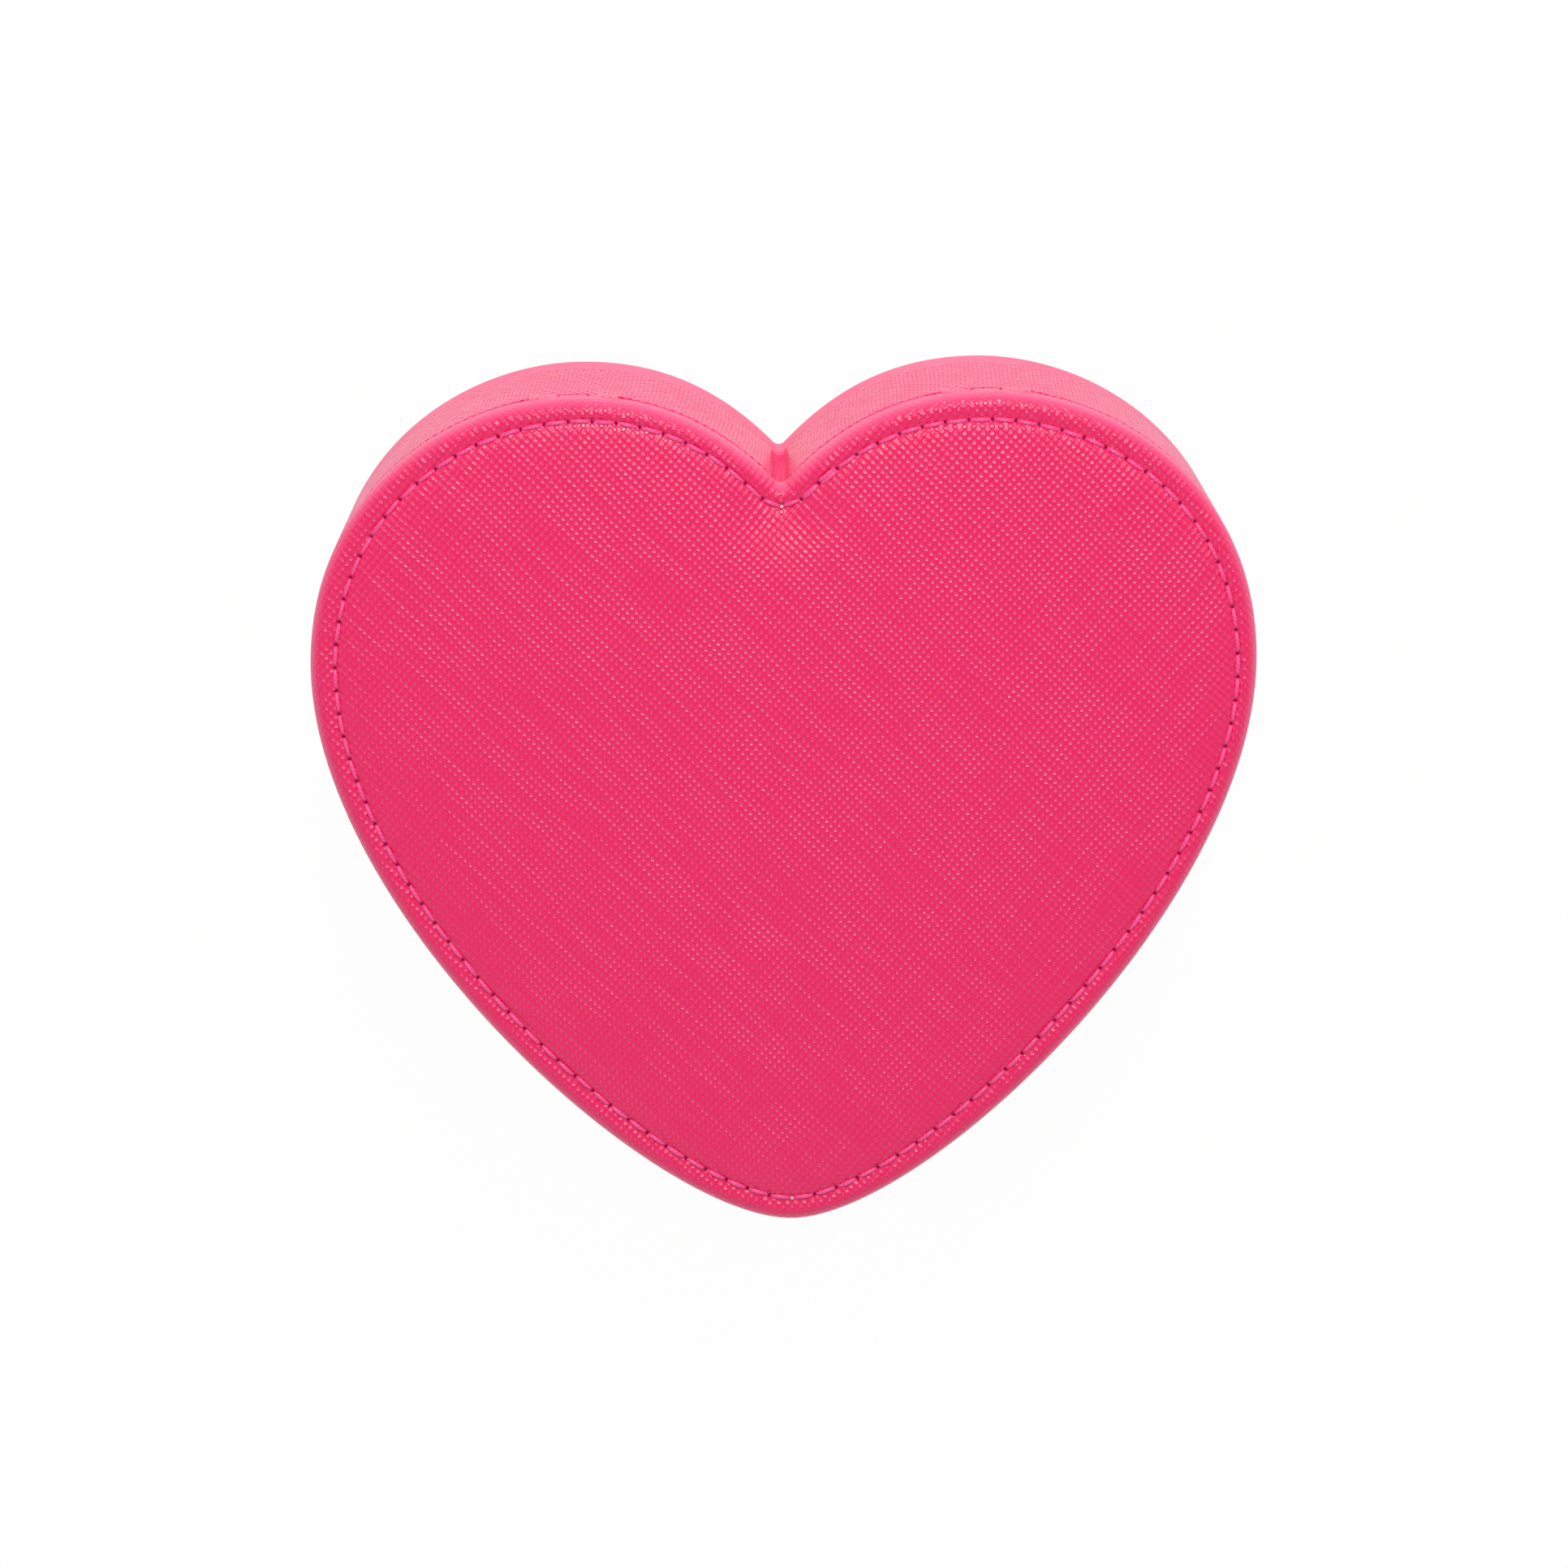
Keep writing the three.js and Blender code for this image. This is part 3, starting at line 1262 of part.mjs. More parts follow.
function governorFrame() {
  const lowBack = wormV - FAN_RADIUS - FAN_CLEARANCE;
  const highBack = plungerV + PLUNGER_RADIUS + PLATE_EDGE;
  const front = axisV - PLATE_FRONT;
  const waist = fanTop + AXIAL_GAP;
  const profile = (withShaft) => {
    const shape = polygon([
      [front, BED_THICKNESS],
      [lowBack, BED_THICKNESS],
      [lowBack, waist + PLATE_EDGE],
      [highBack, waist + PLATE_EDGE + PLATE_BEVEL],
      [highBack, frameTop],
      [governorV - PLATE_BEVEL, frameTop],
      [front, axisW + PLATE_CREST],
    ]);
    if (withShaft) shape.holes.push(disc(axisV, axisW, SHAFT_RADIUS + RUNNING));
    shape.holes.push(disc(governorV, governorW, GOVERNOR_ARBOR + RUNNING));
    return shape;
  };
  const inner = slabX(profile(true), plateU, plateU + PLATE);
  const outer = slabX(profile(false), outerPlateU, outerPlateU + PLATE);
  const right = outerPlateU + PLATE;
  const foot = box(plateU, right, front, wormV + FOOT_REACH, BED_THICKNESS, frameFoot);
  const arm = box(plateU, right, wormV - FOOT_REACH, highBack, frameTop - PLATE, frameTop);
  const wormHoles = post(wormU, wormV, WORM_JOURNAL + RUNNING, journalBottom - FIT, frameTop + 1);
  const plungerHole = post(wormU, plungerV, PLUNGER_RADIUS + RUNNING, frameTop - PLATE - 1, frameTop + 1);
  const screwHole = post(...governorScrew, SCREW_SHANK + FIT, 0, frameFoot + 1);
  return cut(join(inner, outer, foot, arm), wormHoles, plungerHole, screwHole);
}

function governorArbor() {
  const shaft = bar(governorV, governorW, GOVERNOR_ARBOR, gearU - GOVERNOR_STUB, outerPlateU + PLATE);
  const heading = GOVERNOR_RISE + Math.PI + Math.PI / GOVERNOR_PINION_TEETH;
  const leaves = slabX(
    moved(gearShape(GOVERNOR_PINION_TEETH, GEAR_MODULE, heading, GEAR_BACKLASH), governorV, governorW),
    gearU,
    gearU + GEAR_WIDTH,
    1,
  );
  return join(leaves, shaft);
}

// A gap of the worm wheel faces the worm.
function wormWheel() {
  return spurGear(
    WORM_TEETH,
    WORM_MODULE,
    Math.PI / WORM_TEETH,
    WORM_BACKLASH,
    governorV,
    governorW,
    wormU - WORM_WHEEL_WIDTH / 2,
    wormU + WORM_WHEEL_WIDTH / 2,
    GOVERNOR_ARBOR + PRESS_GAP,
  );
}

// Journalled shaft with a single-start right-hand thread in mesh with the worm wheel.
function wormShaft() {
  const core = WORM_PITCH_RADIUS - WORM_MODULE - WORM_ROOT_GAP;
  const crest = WORM_PITCH_RADIUS + WORM_CREST;
  const lead = Math.PI * WORM_MODULE;
  const turns = Math.floor(WORM_LENGTH / lead);
  const perTurn = 9;
  const rows = turns * perTurn;
  const positions = [];
  for (let i = 0; i <= rows; i += 1) {
    const angle = (2 * Math.PI * i) / perTurn - Math.PI / 2 - turns * Math.PI;
    const height = governorW + (lead * (i - rows / 2)) / perTurn;
    for (const [radius, offset] of [
      [core - THREAD_SINK, -THREAD_ROOT_HALF],
      [crest, -THREAD_CREST_HALF],
      [crest, THREAD_CREST_HALF],
      [core - THREAD_SINK, THREAD_ROOT_HALF],
    ]) {
      positions.push(wormU + radius * Math.cos(angle), wormV + radius * Math.sin(angle), height + offset);
    }
  }
  const index = [0, 1, 2, 0, 2, 3];
  for (let i = 0; i < rows; i += 1) {
    for (let k = 0; k < 4; k += 1) {
      const a = 4 * i + k;
      const b = 4 * i + ((k + 1) % 4);
      index.push(a, a + 4, b + 4, a, b + 4, b);
    }
  }
  const end = 4 * rows;
  index.push(end, end + 2, end + 1, end, end + 3, end + 2);
  const thread = new THREE.BufferGeometry();
  thread.setAttribute("position", new THREE.Float32BufferAttribute(positions, 3));
  thread.setIndex(index);
  const bodyHalf = WORM_LENGTH / 2 + WORM_SHOULDER;
  const body = post(wormU, wormV, core, governorW - bodyHalf, governorW + bodyHalf);
  const journal = post(wormU, wormV, WORM_JOURNAL, journalBottom, frameTop - FIT);
  return join(body, journal, thread);
}

function governorFan() {
  const hub = post(wormU, wormV, FAN_HUB, fanBottom, fanTop);
  const blade = box(
    wormU - FAN_RADIUS,
    wormU + FAN_RADIUS,
    wormV - FAN_BLADE / 2,
    wormV + FAN_BLADE / 2,
    fanBottom,
    fanTop,
  );
  const bore = post(wormU, wormV, WORM_JOURNAL + PRESS_GAP, fanBottom - 1, fanTop + 1);
  return cut(join(hub, blade), bore);
}

add(movement, "governor_frame", governorFrame(), zinc);
add(movement, "governor_arbor", governorArbor(), steel);
add(movement, "worm_wheel", wormWheel(), nylon);
add(movement, "worm_shaft", wormShaft(), steel);
add(movement, "governor_fan", governorFan(), nylon);
add(movement, "governor_screw", screw(...governorScrew, frameFoot, GOVERNOR_SCREW_LENGTH), steel);

// ---------------------------------------------------------------------------------------------
// Movement: stop plunger and clear cover
// ---------------------------------------------------------------------------------------------

const padBottom = fanTop + BRAKE_GAP;
const headTop = linerBottom - LID_CONTACT_GAP - deckTop;
const headBottom = headTop - PLUNGER_HEAD_HEIGHT;

function stopPlunger() {
  const rodTop = headTop - PLUNGER_HEAD_HEIGHT / 2;
  const rod = post(wormU, plungerV, PLUNGER_RADIUS, padBottom + PAD_HEIGHT, rodTop);
  const head = post(wormU, plungerV, PLUNGER_HEAD, headBottom, headTop);
  return join(rod, head);
}

function movementCover() {
  const outline = (wall) => {
    const u = coverHalfLength - wall;
    const v = coverHalfWidth - wall;
    return roundedRectangle(-u, u, -v, v, COVER_CORNER - wall);
  };
  const ceiling = coverTop - COVER_WALL;
  const shell = cut(slab(outline(0), 0, coverTop, 2), slab(outline(COVER_WALL), -1, ceiling, 2));
  const hole = post(wormU, plungerV, PLUNGER_RADIUS + PLUNGER_CLEARANCE, ceiling - 1, coverTop + 1);
  return cut(shell, hole);
}

add(movement, "brake_pad", post(wormU, plungerV, PAD_RADIUS, padBottom, padBottom + PAD_HEIGHT), felt);
add(movement, "stop_plunger", stopPlunger(), steel);
add(
  movement,
  "plunger_spring",
  coil(
    wormU,
    plungerV,
    PLUNGER_SPRING_RADIUS,
    PLUNGER_SPRING_WIRE,
    PLUNGER_SPRING_TURNS,
    coverTop + PRESS_GAP,
    headBottom - PRESS_GAP,
  ),
  steel,
);
add(movement, "movement_cover", movementCover(), acrylic);

export default musicBox;
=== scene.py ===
"""Heart-shaped musical jewellery case: a padded, topstitched leatherette lid on a leatherette-covered tray,
velvet rooms and ring rolls inside, and a key-wound comb-and-cylinder movement under a clear cover.

Every shape is worked out in millimetres in the case's own frame and written to its mesh in metres.
"""
import math

import bpy
import numpy as np
from mathutils import Matrix


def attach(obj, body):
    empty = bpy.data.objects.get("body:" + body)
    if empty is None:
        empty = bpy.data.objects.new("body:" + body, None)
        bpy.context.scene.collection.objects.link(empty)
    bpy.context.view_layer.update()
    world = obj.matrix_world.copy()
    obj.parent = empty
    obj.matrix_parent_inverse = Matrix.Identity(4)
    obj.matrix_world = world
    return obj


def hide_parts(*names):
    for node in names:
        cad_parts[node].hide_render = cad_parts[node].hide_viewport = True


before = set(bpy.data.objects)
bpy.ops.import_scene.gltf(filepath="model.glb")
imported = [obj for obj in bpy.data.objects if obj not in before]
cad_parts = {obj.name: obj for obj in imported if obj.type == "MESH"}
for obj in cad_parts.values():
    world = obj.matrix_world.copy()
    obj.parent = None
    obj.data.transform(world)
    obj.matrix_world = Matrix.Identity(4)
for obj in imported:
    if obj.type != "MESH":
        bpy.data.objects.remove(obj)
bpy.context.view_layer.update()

MM = 0.001
TAU = 2 * math.pi
rng = np.random.default_rng(7)

# ---- Sizes, in millimetres ----

# Heart outline: the points it runs through and the lengths of its handles there.
HALF_WIDTH, WIDEST_Y = 70.0, 22.4
LOBE_X, LOBE_Y = 30.4, 62.3
CLEFT_Y, TIP_Y = 48.5, -62.3
CLEFT_SLOPE, CLEFT_FILLET = math.radians(45.8), 1.2
HANDLES = {"cleft": 10.3, "lobe_in": 13.4, "lobe_out": 18.0, "up": 26.6, "down": 37.2, "tip": 20.4}
HEART_MIDDLE = (0.0, 10.0)

# Heights.
PLINTH_LIFT, PLINTH_TOP = 0.3, 10.9
DECK_TOP, FLOOR_TOP = 15.1, 16.2
PARTING = 43.0
WALL_TOP, LID_BOTTOM = 42.85, 43.15
RIM_TOP, PILLOW_RISE, PILLOW_EASE = 49.7, 1.15, 6.0
DIMPLE_DEPTH = 0.8
EDGE_ROLL, LOWER_ROLL = 2.4, 0.9
TURN_IN = 12.0
ROOM_INSET = 5.2
SKIN = 0.9

# Topstitch round the lid.
SEAM_INSET = 3.45
STITCH_PITCH = 3.5
STATIONS_PER_STITCH = 6
THREAD_END_RADIUS = 0.3
SEAM_DEPTH, HOLE_DEPTH = 0.32, 0.16
# The seam was guided by hand, so it strays from its even line: waves round the lid, millimetres and phase.
SEAM_STRAY = ((1, 0.22, -2.52), (2, 0.1, 0.39), (3, 0.3, -0.71), (4, 0.22, -0.94))

# Hinges and the pocket in the covering that their knuckles turn in.
HINGE_Y, HINGE_Z, HINGE_LENGTH = 61.1, PARTING, 13.0
KNUCKLE_BORE, KNUCKLE_RADIUS, POCKET_RADIUS = 0.6, 1.2, 1.32
POCKET_HALF, POCKET_END = 6.8, 2.0

# ---- Heart outline ----


def bezier(points, t):
    """Cubic curve through four points, with its derivative: the Bernstein sum of the points at t."""
    p = np.array(points, float)
    t = t[:, None]
    s = 1 - t
    place = s**3 * p[0] + 3 * s * s * t * p[1] + 3 * s * t * t * p[2] + t**3 * p[3]
    speed = 3 * s * s * (p[1] - p[0]) + 6 * s * t * (p[2] - p[1]) + 3 * t * t * (p[3] - p[2])
    return place, speed


def half_outline():
    """Right half of the heart, cleft to tip, as points and outward normals. A fillet arc at the cleft is
    followed by three cubic curves over the lobe, down the flank and to the tip."""
    slope = np.array([math.cos(CLEFT_SLOPE), math.sin(CLEFT_SLOPE)])
    centre = np.array([0, CLEFT_Y + CLEFT_FILLET / slope[0]])
    turn = np.linspace(0, CLEFT_SLOPE, 40)
    out = np.column_stack([-np.sin(turn), np.cos(turn)])
    places, outwards = [centre - CLEFT_FILLET * out], [out]
    start = centre + CLEFT_FILLET * np.array([slope[1], -slope[0]])
    h = HANDLES
    lobe, widest, tip = (LOBE_X, LOBE_Y), (HALF_WIDTH, WIDEST_Y), (0, TIP_Y)
    curves = (
        (start, start + h["cleft"] * slope, (LOBE_X - h["lobe_in"], LOBE_Y), lobe),
        (lobe, (LOBE_X + h["lobe_out"], LOBE_Y), (HALF_WIDTH, WIDEST_Y + h["up"]), widest),
        (widest, (HALF_WIDTH, WIDEST_Y - h["down"]), (h["tip"], TIP_Y), tip),
    )
    for curve in curves:
        place, speed = bezier(curve, np.linspace(0, 1, 600)[1:])
        places.append(place)
        outwards.append(np.column_stack([-speed[:, 1], speed[:, 0]]) / np.linalg.norm(speed, axis=1)[:, None])
    return np.vstack(places), np.vstack(outwards)


def run_along(line):
    """Distance run from a line's first point to each of its points: the summed lengths of its steps."""
    return np.concatenate([[0], np.cumsum(np.linalg.norm(np.diff(line, axis=0), axis=1))])


def heart_stations(per_half, measured_inset):
    """Points and outward normals round the whole heart, clockwise from the cleft, evenly spaced along the
    loop that lies measured_inset inside the outline. The left half mirrors the right one."""
    place, outward = half_outline()
    run = run_along(place - outward * measured_inset)
    even = np.linspace(0, run[-1], per_half + 1)
    right = [np.column_stack([np.interp(even, run, a[:, i]) for i in (0, 1)]) for a in (place, outward)]
    right[1] /= np.linalg.norm(right[1], axis=1)[:, None]
    mirrored = [a[1:-1][::-1] * (-1, 1) for a in right]
    return np.vstack([right[0], mirrored[0]]), np.vstack([right[1], mirrored[1]]), run[-1]


HALF_SEAM = heart_stations(10, SEAM_INSET)[2]
STITCHES_PER_HALF = round(HALF_SEAM / STITCH_PITCH)
PITCH = HALF_SEAM / STITCHES_PER_HALF
RIM, OUTWARD = heart_stations(STITCHES_PER_HALF * STATIONS_PER_STITCH, SEAM_INSET)[:2]
COARSE_RIM, COARSE_OUTWARD = heart_stations(160, SEAM_INSET)[:2]


def loop(inset, coarse=False):
    """The heart moved inwards by inset: each station less inset times its outward normal."""
    return (COARSE_RIM - COARSE_OUTWARD * inset) if coarse else (RIM - OUTWARD * inset)


def levels(plans):
    """Grid of flat loops, one row for each (plan, z) pair."""
    return np.array([np.column_stack([plan, np.full(len(plan), float(z))]) for plan, z in plans])


def stack(profile, coarse=False):
    """Grid of hearts, one row for each (inset, z) pair of the profile."""
    return levels([(loop(inset, coarse), z) for inset, z in profile])


def arc(inset, z, radius, start, end, steps):
    """(inset, z) pairs on a circle round (inset, z), from the start angle to the end angle in degrees."""
    angle = np.radians(np.linspace(start, end, steps + 1))
    return list(zip(inset + radius * np.cos(angle), z + radius * np.sin(angle)))


def bell(distance, width):
    """Bell curve: the exponential of minus the squared ratio of distance to width."""
    return np.exp(-((distance / width) ** 2))


def smooth(t):
    """Smooth step 3tt - 2ttt, with t held between 0 and 1."""
    t = np.clip(t, 0, 1)
    return t * t * (3 - 2 * t)


# ---- Meshes: a shell is its vertices, its faces in blocks of one size, and blocks of its UV maps ----


def grid_faces(rows, columns, tube=False):
    """Quads between neighbouring rows, which are closed loops, and each corner's place in the grid. tube also
    joins the last row to the first."""
    r, c = np.meshgrid(np.arange(rows if tube else rows - 1), np.arange(columns), indexing="ij")
    r, c = r.ravel(), c.ravel()
    r2, c2 = (r + 1) % rows, (c + 1) % columns
    quads = np.column_stack([r * columns + c, r * columns + c2, r2 * columns + c2, r2 * columns + c])
    return quads, np.column_stack([r, r, r + 1, r + 1]), np.column_stack([c, c + 1, c + 1, c])


def volume_of(vertices, blocks):
    """Signed volume of a closed mesh: the sum over its faces' fans of a . (b x c) / 6."""
    fans = [(block[:, 0], block[:, k], block[:, k + 1])
            for block in blocks for k in range(1, block.shape[1] - 1)]
    return sum(np.einsum("ij,ij->i", vertices[a], np.cross(vertices[b], vertices[c])).sum()
               for a, b, c in fans) / 6


def shell(points, tube=False, caps=(False, False), maps=None, outward=None):
    """Shell from a grid of points (rows, columns, 3), each row a closed loop. A cap closes the first or last
    row with a fan round its mean point. maps gives each UV map an array (rows, columns + 1, 2). Faces are
    turned to point outwards: by the volume of a closed form, or away from the point outward for an open
    one."""
    rows, columns = points.shape[:2]
    quads, row_of, column_of = grid_faces(rows, columns, tube)
    vertices, blocks = points.reshape(-1, 3), [quads]
    pairs = {title: [grid[row_of, column_of]] for title, grid in (maps or {}).items()}
    here = np.arange(columns)
    ahead = (here + 1) % columns
    for row in [row for row, wanted in zip((0, rows - 1), caps) if wanted]:
        back = -1 if row else 1
        fan = np.column_stack([row * columns + ahead, row * columns + here, np.full(columns, len(vertices))])
        blocks.append(fan[:, ::back])
        vertices = np.vstack([vertices, points[row].mean(axis=0)])
        for title, grid in (maps or {}).items():
            hub = np.broadcast_to(grid[row, :columns].mean(axis=0), (columns, 2))
            pairs[title].append(np.stack([grid[row, ahead], grid[row, here], hub], axis=1)[:, ::back])
    if outward is None:
        inside_out = volume_of(vertices, blocks) < 0
    else:
        a, b, d = (vertices[quads[:, k]] for k in (0, 1, 3))
        inside_out = np.einsum("ij,ij->i", np.cross(b - a, d - a), a - np.array(outward, float)).sum() < 0
    if inside_out:
        blocks = [block[:, ::-1] for block in blocks]
        pairs = {title: [block[:, ::-1] for block in parts] for title, parts in pairs.items()}
    return vertices, blocks, pairs


def joined(name, shells, material, sharp=40):
    """One piece, at the origin, from shells in millimetres. Edges that turn by over sharp degrees are
    kept."""
    starts = np.cumsum([0] + [len(vertices) for vertices, _, _ in shells])
    faces = [face for start, (_, blocks, _) in zip(starts, shells)
             for block in blocks for face in (block + start).tolist()]
    mesh = bpy.data.meshes.new(name)
    mesh.from_pydata((np.vstack([vertices for vertices, _, _ in shells]) * MM).tolist(), [], faces)
    for title in shells[0][2]:
        layer = mesh.uv_layers.new(name=title)
        pairs = [block.reshape(-1, 2) for _, _, maps in shells for block in maps[title]]
        layer.data.foreach_set("uv", np.vstack(pairs).astype(np.float32).ravel())
    mesh.shade_smooth()
    mesh.set_sharp_from_angle(angle=math.radians(sharp))
    piece = bpy.data.objects.new(name, mesh)
    bpy.context.collection.objects.link(piece)
    mesh.materials.append(material)
    return piece


def surface(name, points, material, sharp=40, **form):
    """Piece of a single shell."""
    return joined(name, [shell(points, **form)], material, sharp)


def turned_grid(profile, centre, axis="Z", sides=64, heading=0.0):
    """Grid turned about an axis through centre: every (radius, along) pair of the profile becomes a ring, at
    radius times the cosine and the sine of evenly spaced angles. A radius may differ from side to side."""
    angle = np.linspace(0, TAU, sides, endpoint=False) + heading
    radius, along = (np.array([part + np.zeros(sides) for part in parts]) for parts in zip(*profile))
    across, up = radius * np.cos(angle), radius * np.sin(angle)
    order = {"X": (along, across, up), "Z": (across, up, along)}[axis]
    return np.stack(order, axis=-1) + np.array(centre, float)


def eased(corners, size, closed=True):
    """Outline whose corners are softened: each is replaced by a quadratic Bezier curve that starts and ends
    size away from it, or at a third of a shorter side."""
    p = np.array(corners, float)
    t = np.linspace(0, 1, 3)[None, :, None]
    reach = []
    for side in (np.roll(p, 1, axis=0) - p, np.roll(p, -1, axis=0) - p):
        length = np.linalg.norm(side, axis=1, keepdims=True)
        reach.append((p + side / length * np.minimum(size, length / 3))[:, None])
    curve = (1 - t) ** 2 * reach[0] + 2 * t * (1 - t) * p[:, None] + t**2 * reach[1]
    if not closed:
        return np.vstack([p[:1], curve[1:-1].reshape(-1, 2), p[-1:]])
    return curve.reshape(-1, 2)


def turned(corners, centre, axis="Z", sides=64, ease=0.15, bored=False):
    """Turned shell from the (radius, along) corners of its section. A section that goes round a bore closes
    on itself; one that runs from end face to end face is closed with flat caps."""
    if bored:
        return shell(turned_grid(eased(corners, ease), centre, axis, sides), tube=True)
    section = eased([(0, corners[0][1]), *corners, (0, corners[-1][1])], ease, closed=False)[1:-1]
    return shell(turned_grid(section, centre, axis, sides), caps=(True, True))


def rounded_rectangle(half_x, half_y, radius, corner_steps=8, side_steps=10):
    """Closed loop, anticlockwise: four quarter circles joined by straight sides."""
    signs = ((1, 1), (-1, 1), (-1, -1), (1, -1))
    points = []
    for quarter in range(4):
        angle = np.linspace(quarter, quarter + 1, corner_steps + 1) * math.pi / 2
        corner = np.column_stack([np.cos(angle), np.sin(angle)]) * radius
        here, there = (np.array(signs[k % 4]) * (half_x - radius, half_y - radius)
                       for k in (quarter, quarter + 1))
        share = np.linspace(0, 1, side_steps + 1)[1:-1, None]
        points += [corner + here, corner[-1] + here + (there - here) * share]
    return np.vstack(points)


def shrunk(outline, inset):
    """Closed convex loop moved inwards by inset along its own normals."""
    ahead = np.roll(outline, -1, axis=0) - np.roll(outline, 1, axis=0)
    normal = np.column_stack([-ahead[:, 1], ahead[:, 0]]) / np.linalg.norm(ahead, axis=1)[:, None]
    return outline + normal * inset


def hole_loop(outline, centre, radius):
    """Round hole seen by the points of an outline: each point's direction from the centre, at one radius."""
    away = outline - np.array(centre, float)
    return np.array(centre, float) + radius * away / np.linalg.norm(away, axis=1)[:, None]


def thicken(piece, thickness):
    """Gives an open skin its thickness on the inner side."""
    wall = piece.modifiers.new("thickness", "SOLIDIFY")
    wall.thickness = thickness * MM
    wall.offset = -1
    return piece


def pocketed(points):
    """A covering with a round channel for each hinge's knuckles: within half the channel's length of the
    hinge's middle, every point closer to the hinge axis in height than the channel's radius goes back to the
    circle round the axis. Past the channel's two ends the radius runs out along a quarter of an ellipse."""
    moved = points.copy()
    off_axis = np.abs(points[..., 2] - HINGE_Z)
    beyond = np.clip((np.abs(np.abs(points[..., 0]) - LOBE_X) - POCKET_HALF) / POCKET_END, 0, 1)
    radius = POCKET_RADIUS * np.sqrt(1 - beyond**2)
    depth = np.sqrt(np.maximum(radius**2 - off_axis**2, 0))
    y = points[..., 1]
    moved[..., 1] = np.where(off_axis < radius, np.minimum(y, HINGE_Y - depth), y)
    return moved


def seat(piece, body, slot, *nodes):
    """Rides a finished piece on its body, and hides the solids that it stands for. Its slot is not used."""
    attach(piece, body)
    if nodes:
        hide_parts(*nodes)
    return piece


# ---- Materials ----

SMOOTH = "SMOOTHSTEP"


def colour(hexa):
    """sRGB hex to linear RGBA: below 0.04045 divided by 12.92, above it ((c + 0.055) / 1.055) ** 2.4."""
    c = np.array([int(hexa[i : i + 2], 16) / 255 for i in (0, 2, 4)])
    linear = np.where(c <= 0.04045, c / 12.92, ((c + 0.055) / 1.055) ** 2.4)
    return (*linear.tolist(), 1.0)


def add(tree, kind, inputs=(), **settings):
    """One node. settings are its fields; inputs are its sockets' values, or the sockets or nodes that feed
    them, by name or in the sockets' own order. A node stands for its first output in use."""
    made = tree.nodes.new("ShaderNode" + kind)
    for field, value in settings.items():
        setattr(made, field, value)
    for socket, value in inputs.items() if isinstance(inputs, dict) else enumerate(inputs):
        if isinstance(value, bpy.types.Node):
            value = next(output for output in value.outputs if output.enabled)
        if isinstance(value, bpy.types.NodeSocket):
            tree.links.new(value, made.inputs[socket])
        else:
            made.inputs[socket].default_value = value
    return made


def new_material(name):
    """Empty material and its tree."""
    material = bpy.data.materials.new(name)
    material.use_nodes = True
    material.node_tree.nodes.clear()
    return material, material.node_tree


# Grain of cross-hatched leatherette: two families of lines, each about 0.95 mm apart, nearly square to each
# other and 46 degrees off the case's axes, so that the raised beads stand in staggered rows 1.34 mm apart.
GRAIN_PERIOD = 0.95
GRAIN_HEADINGS = (46.0, 139.0)
# Painted shade in the needle holes, and painted light on the lid's edge and side.
NEEDLE_HOLE_SHADE, PAINTED_EDGE_LIGHT = "860A3C", "FF6496"


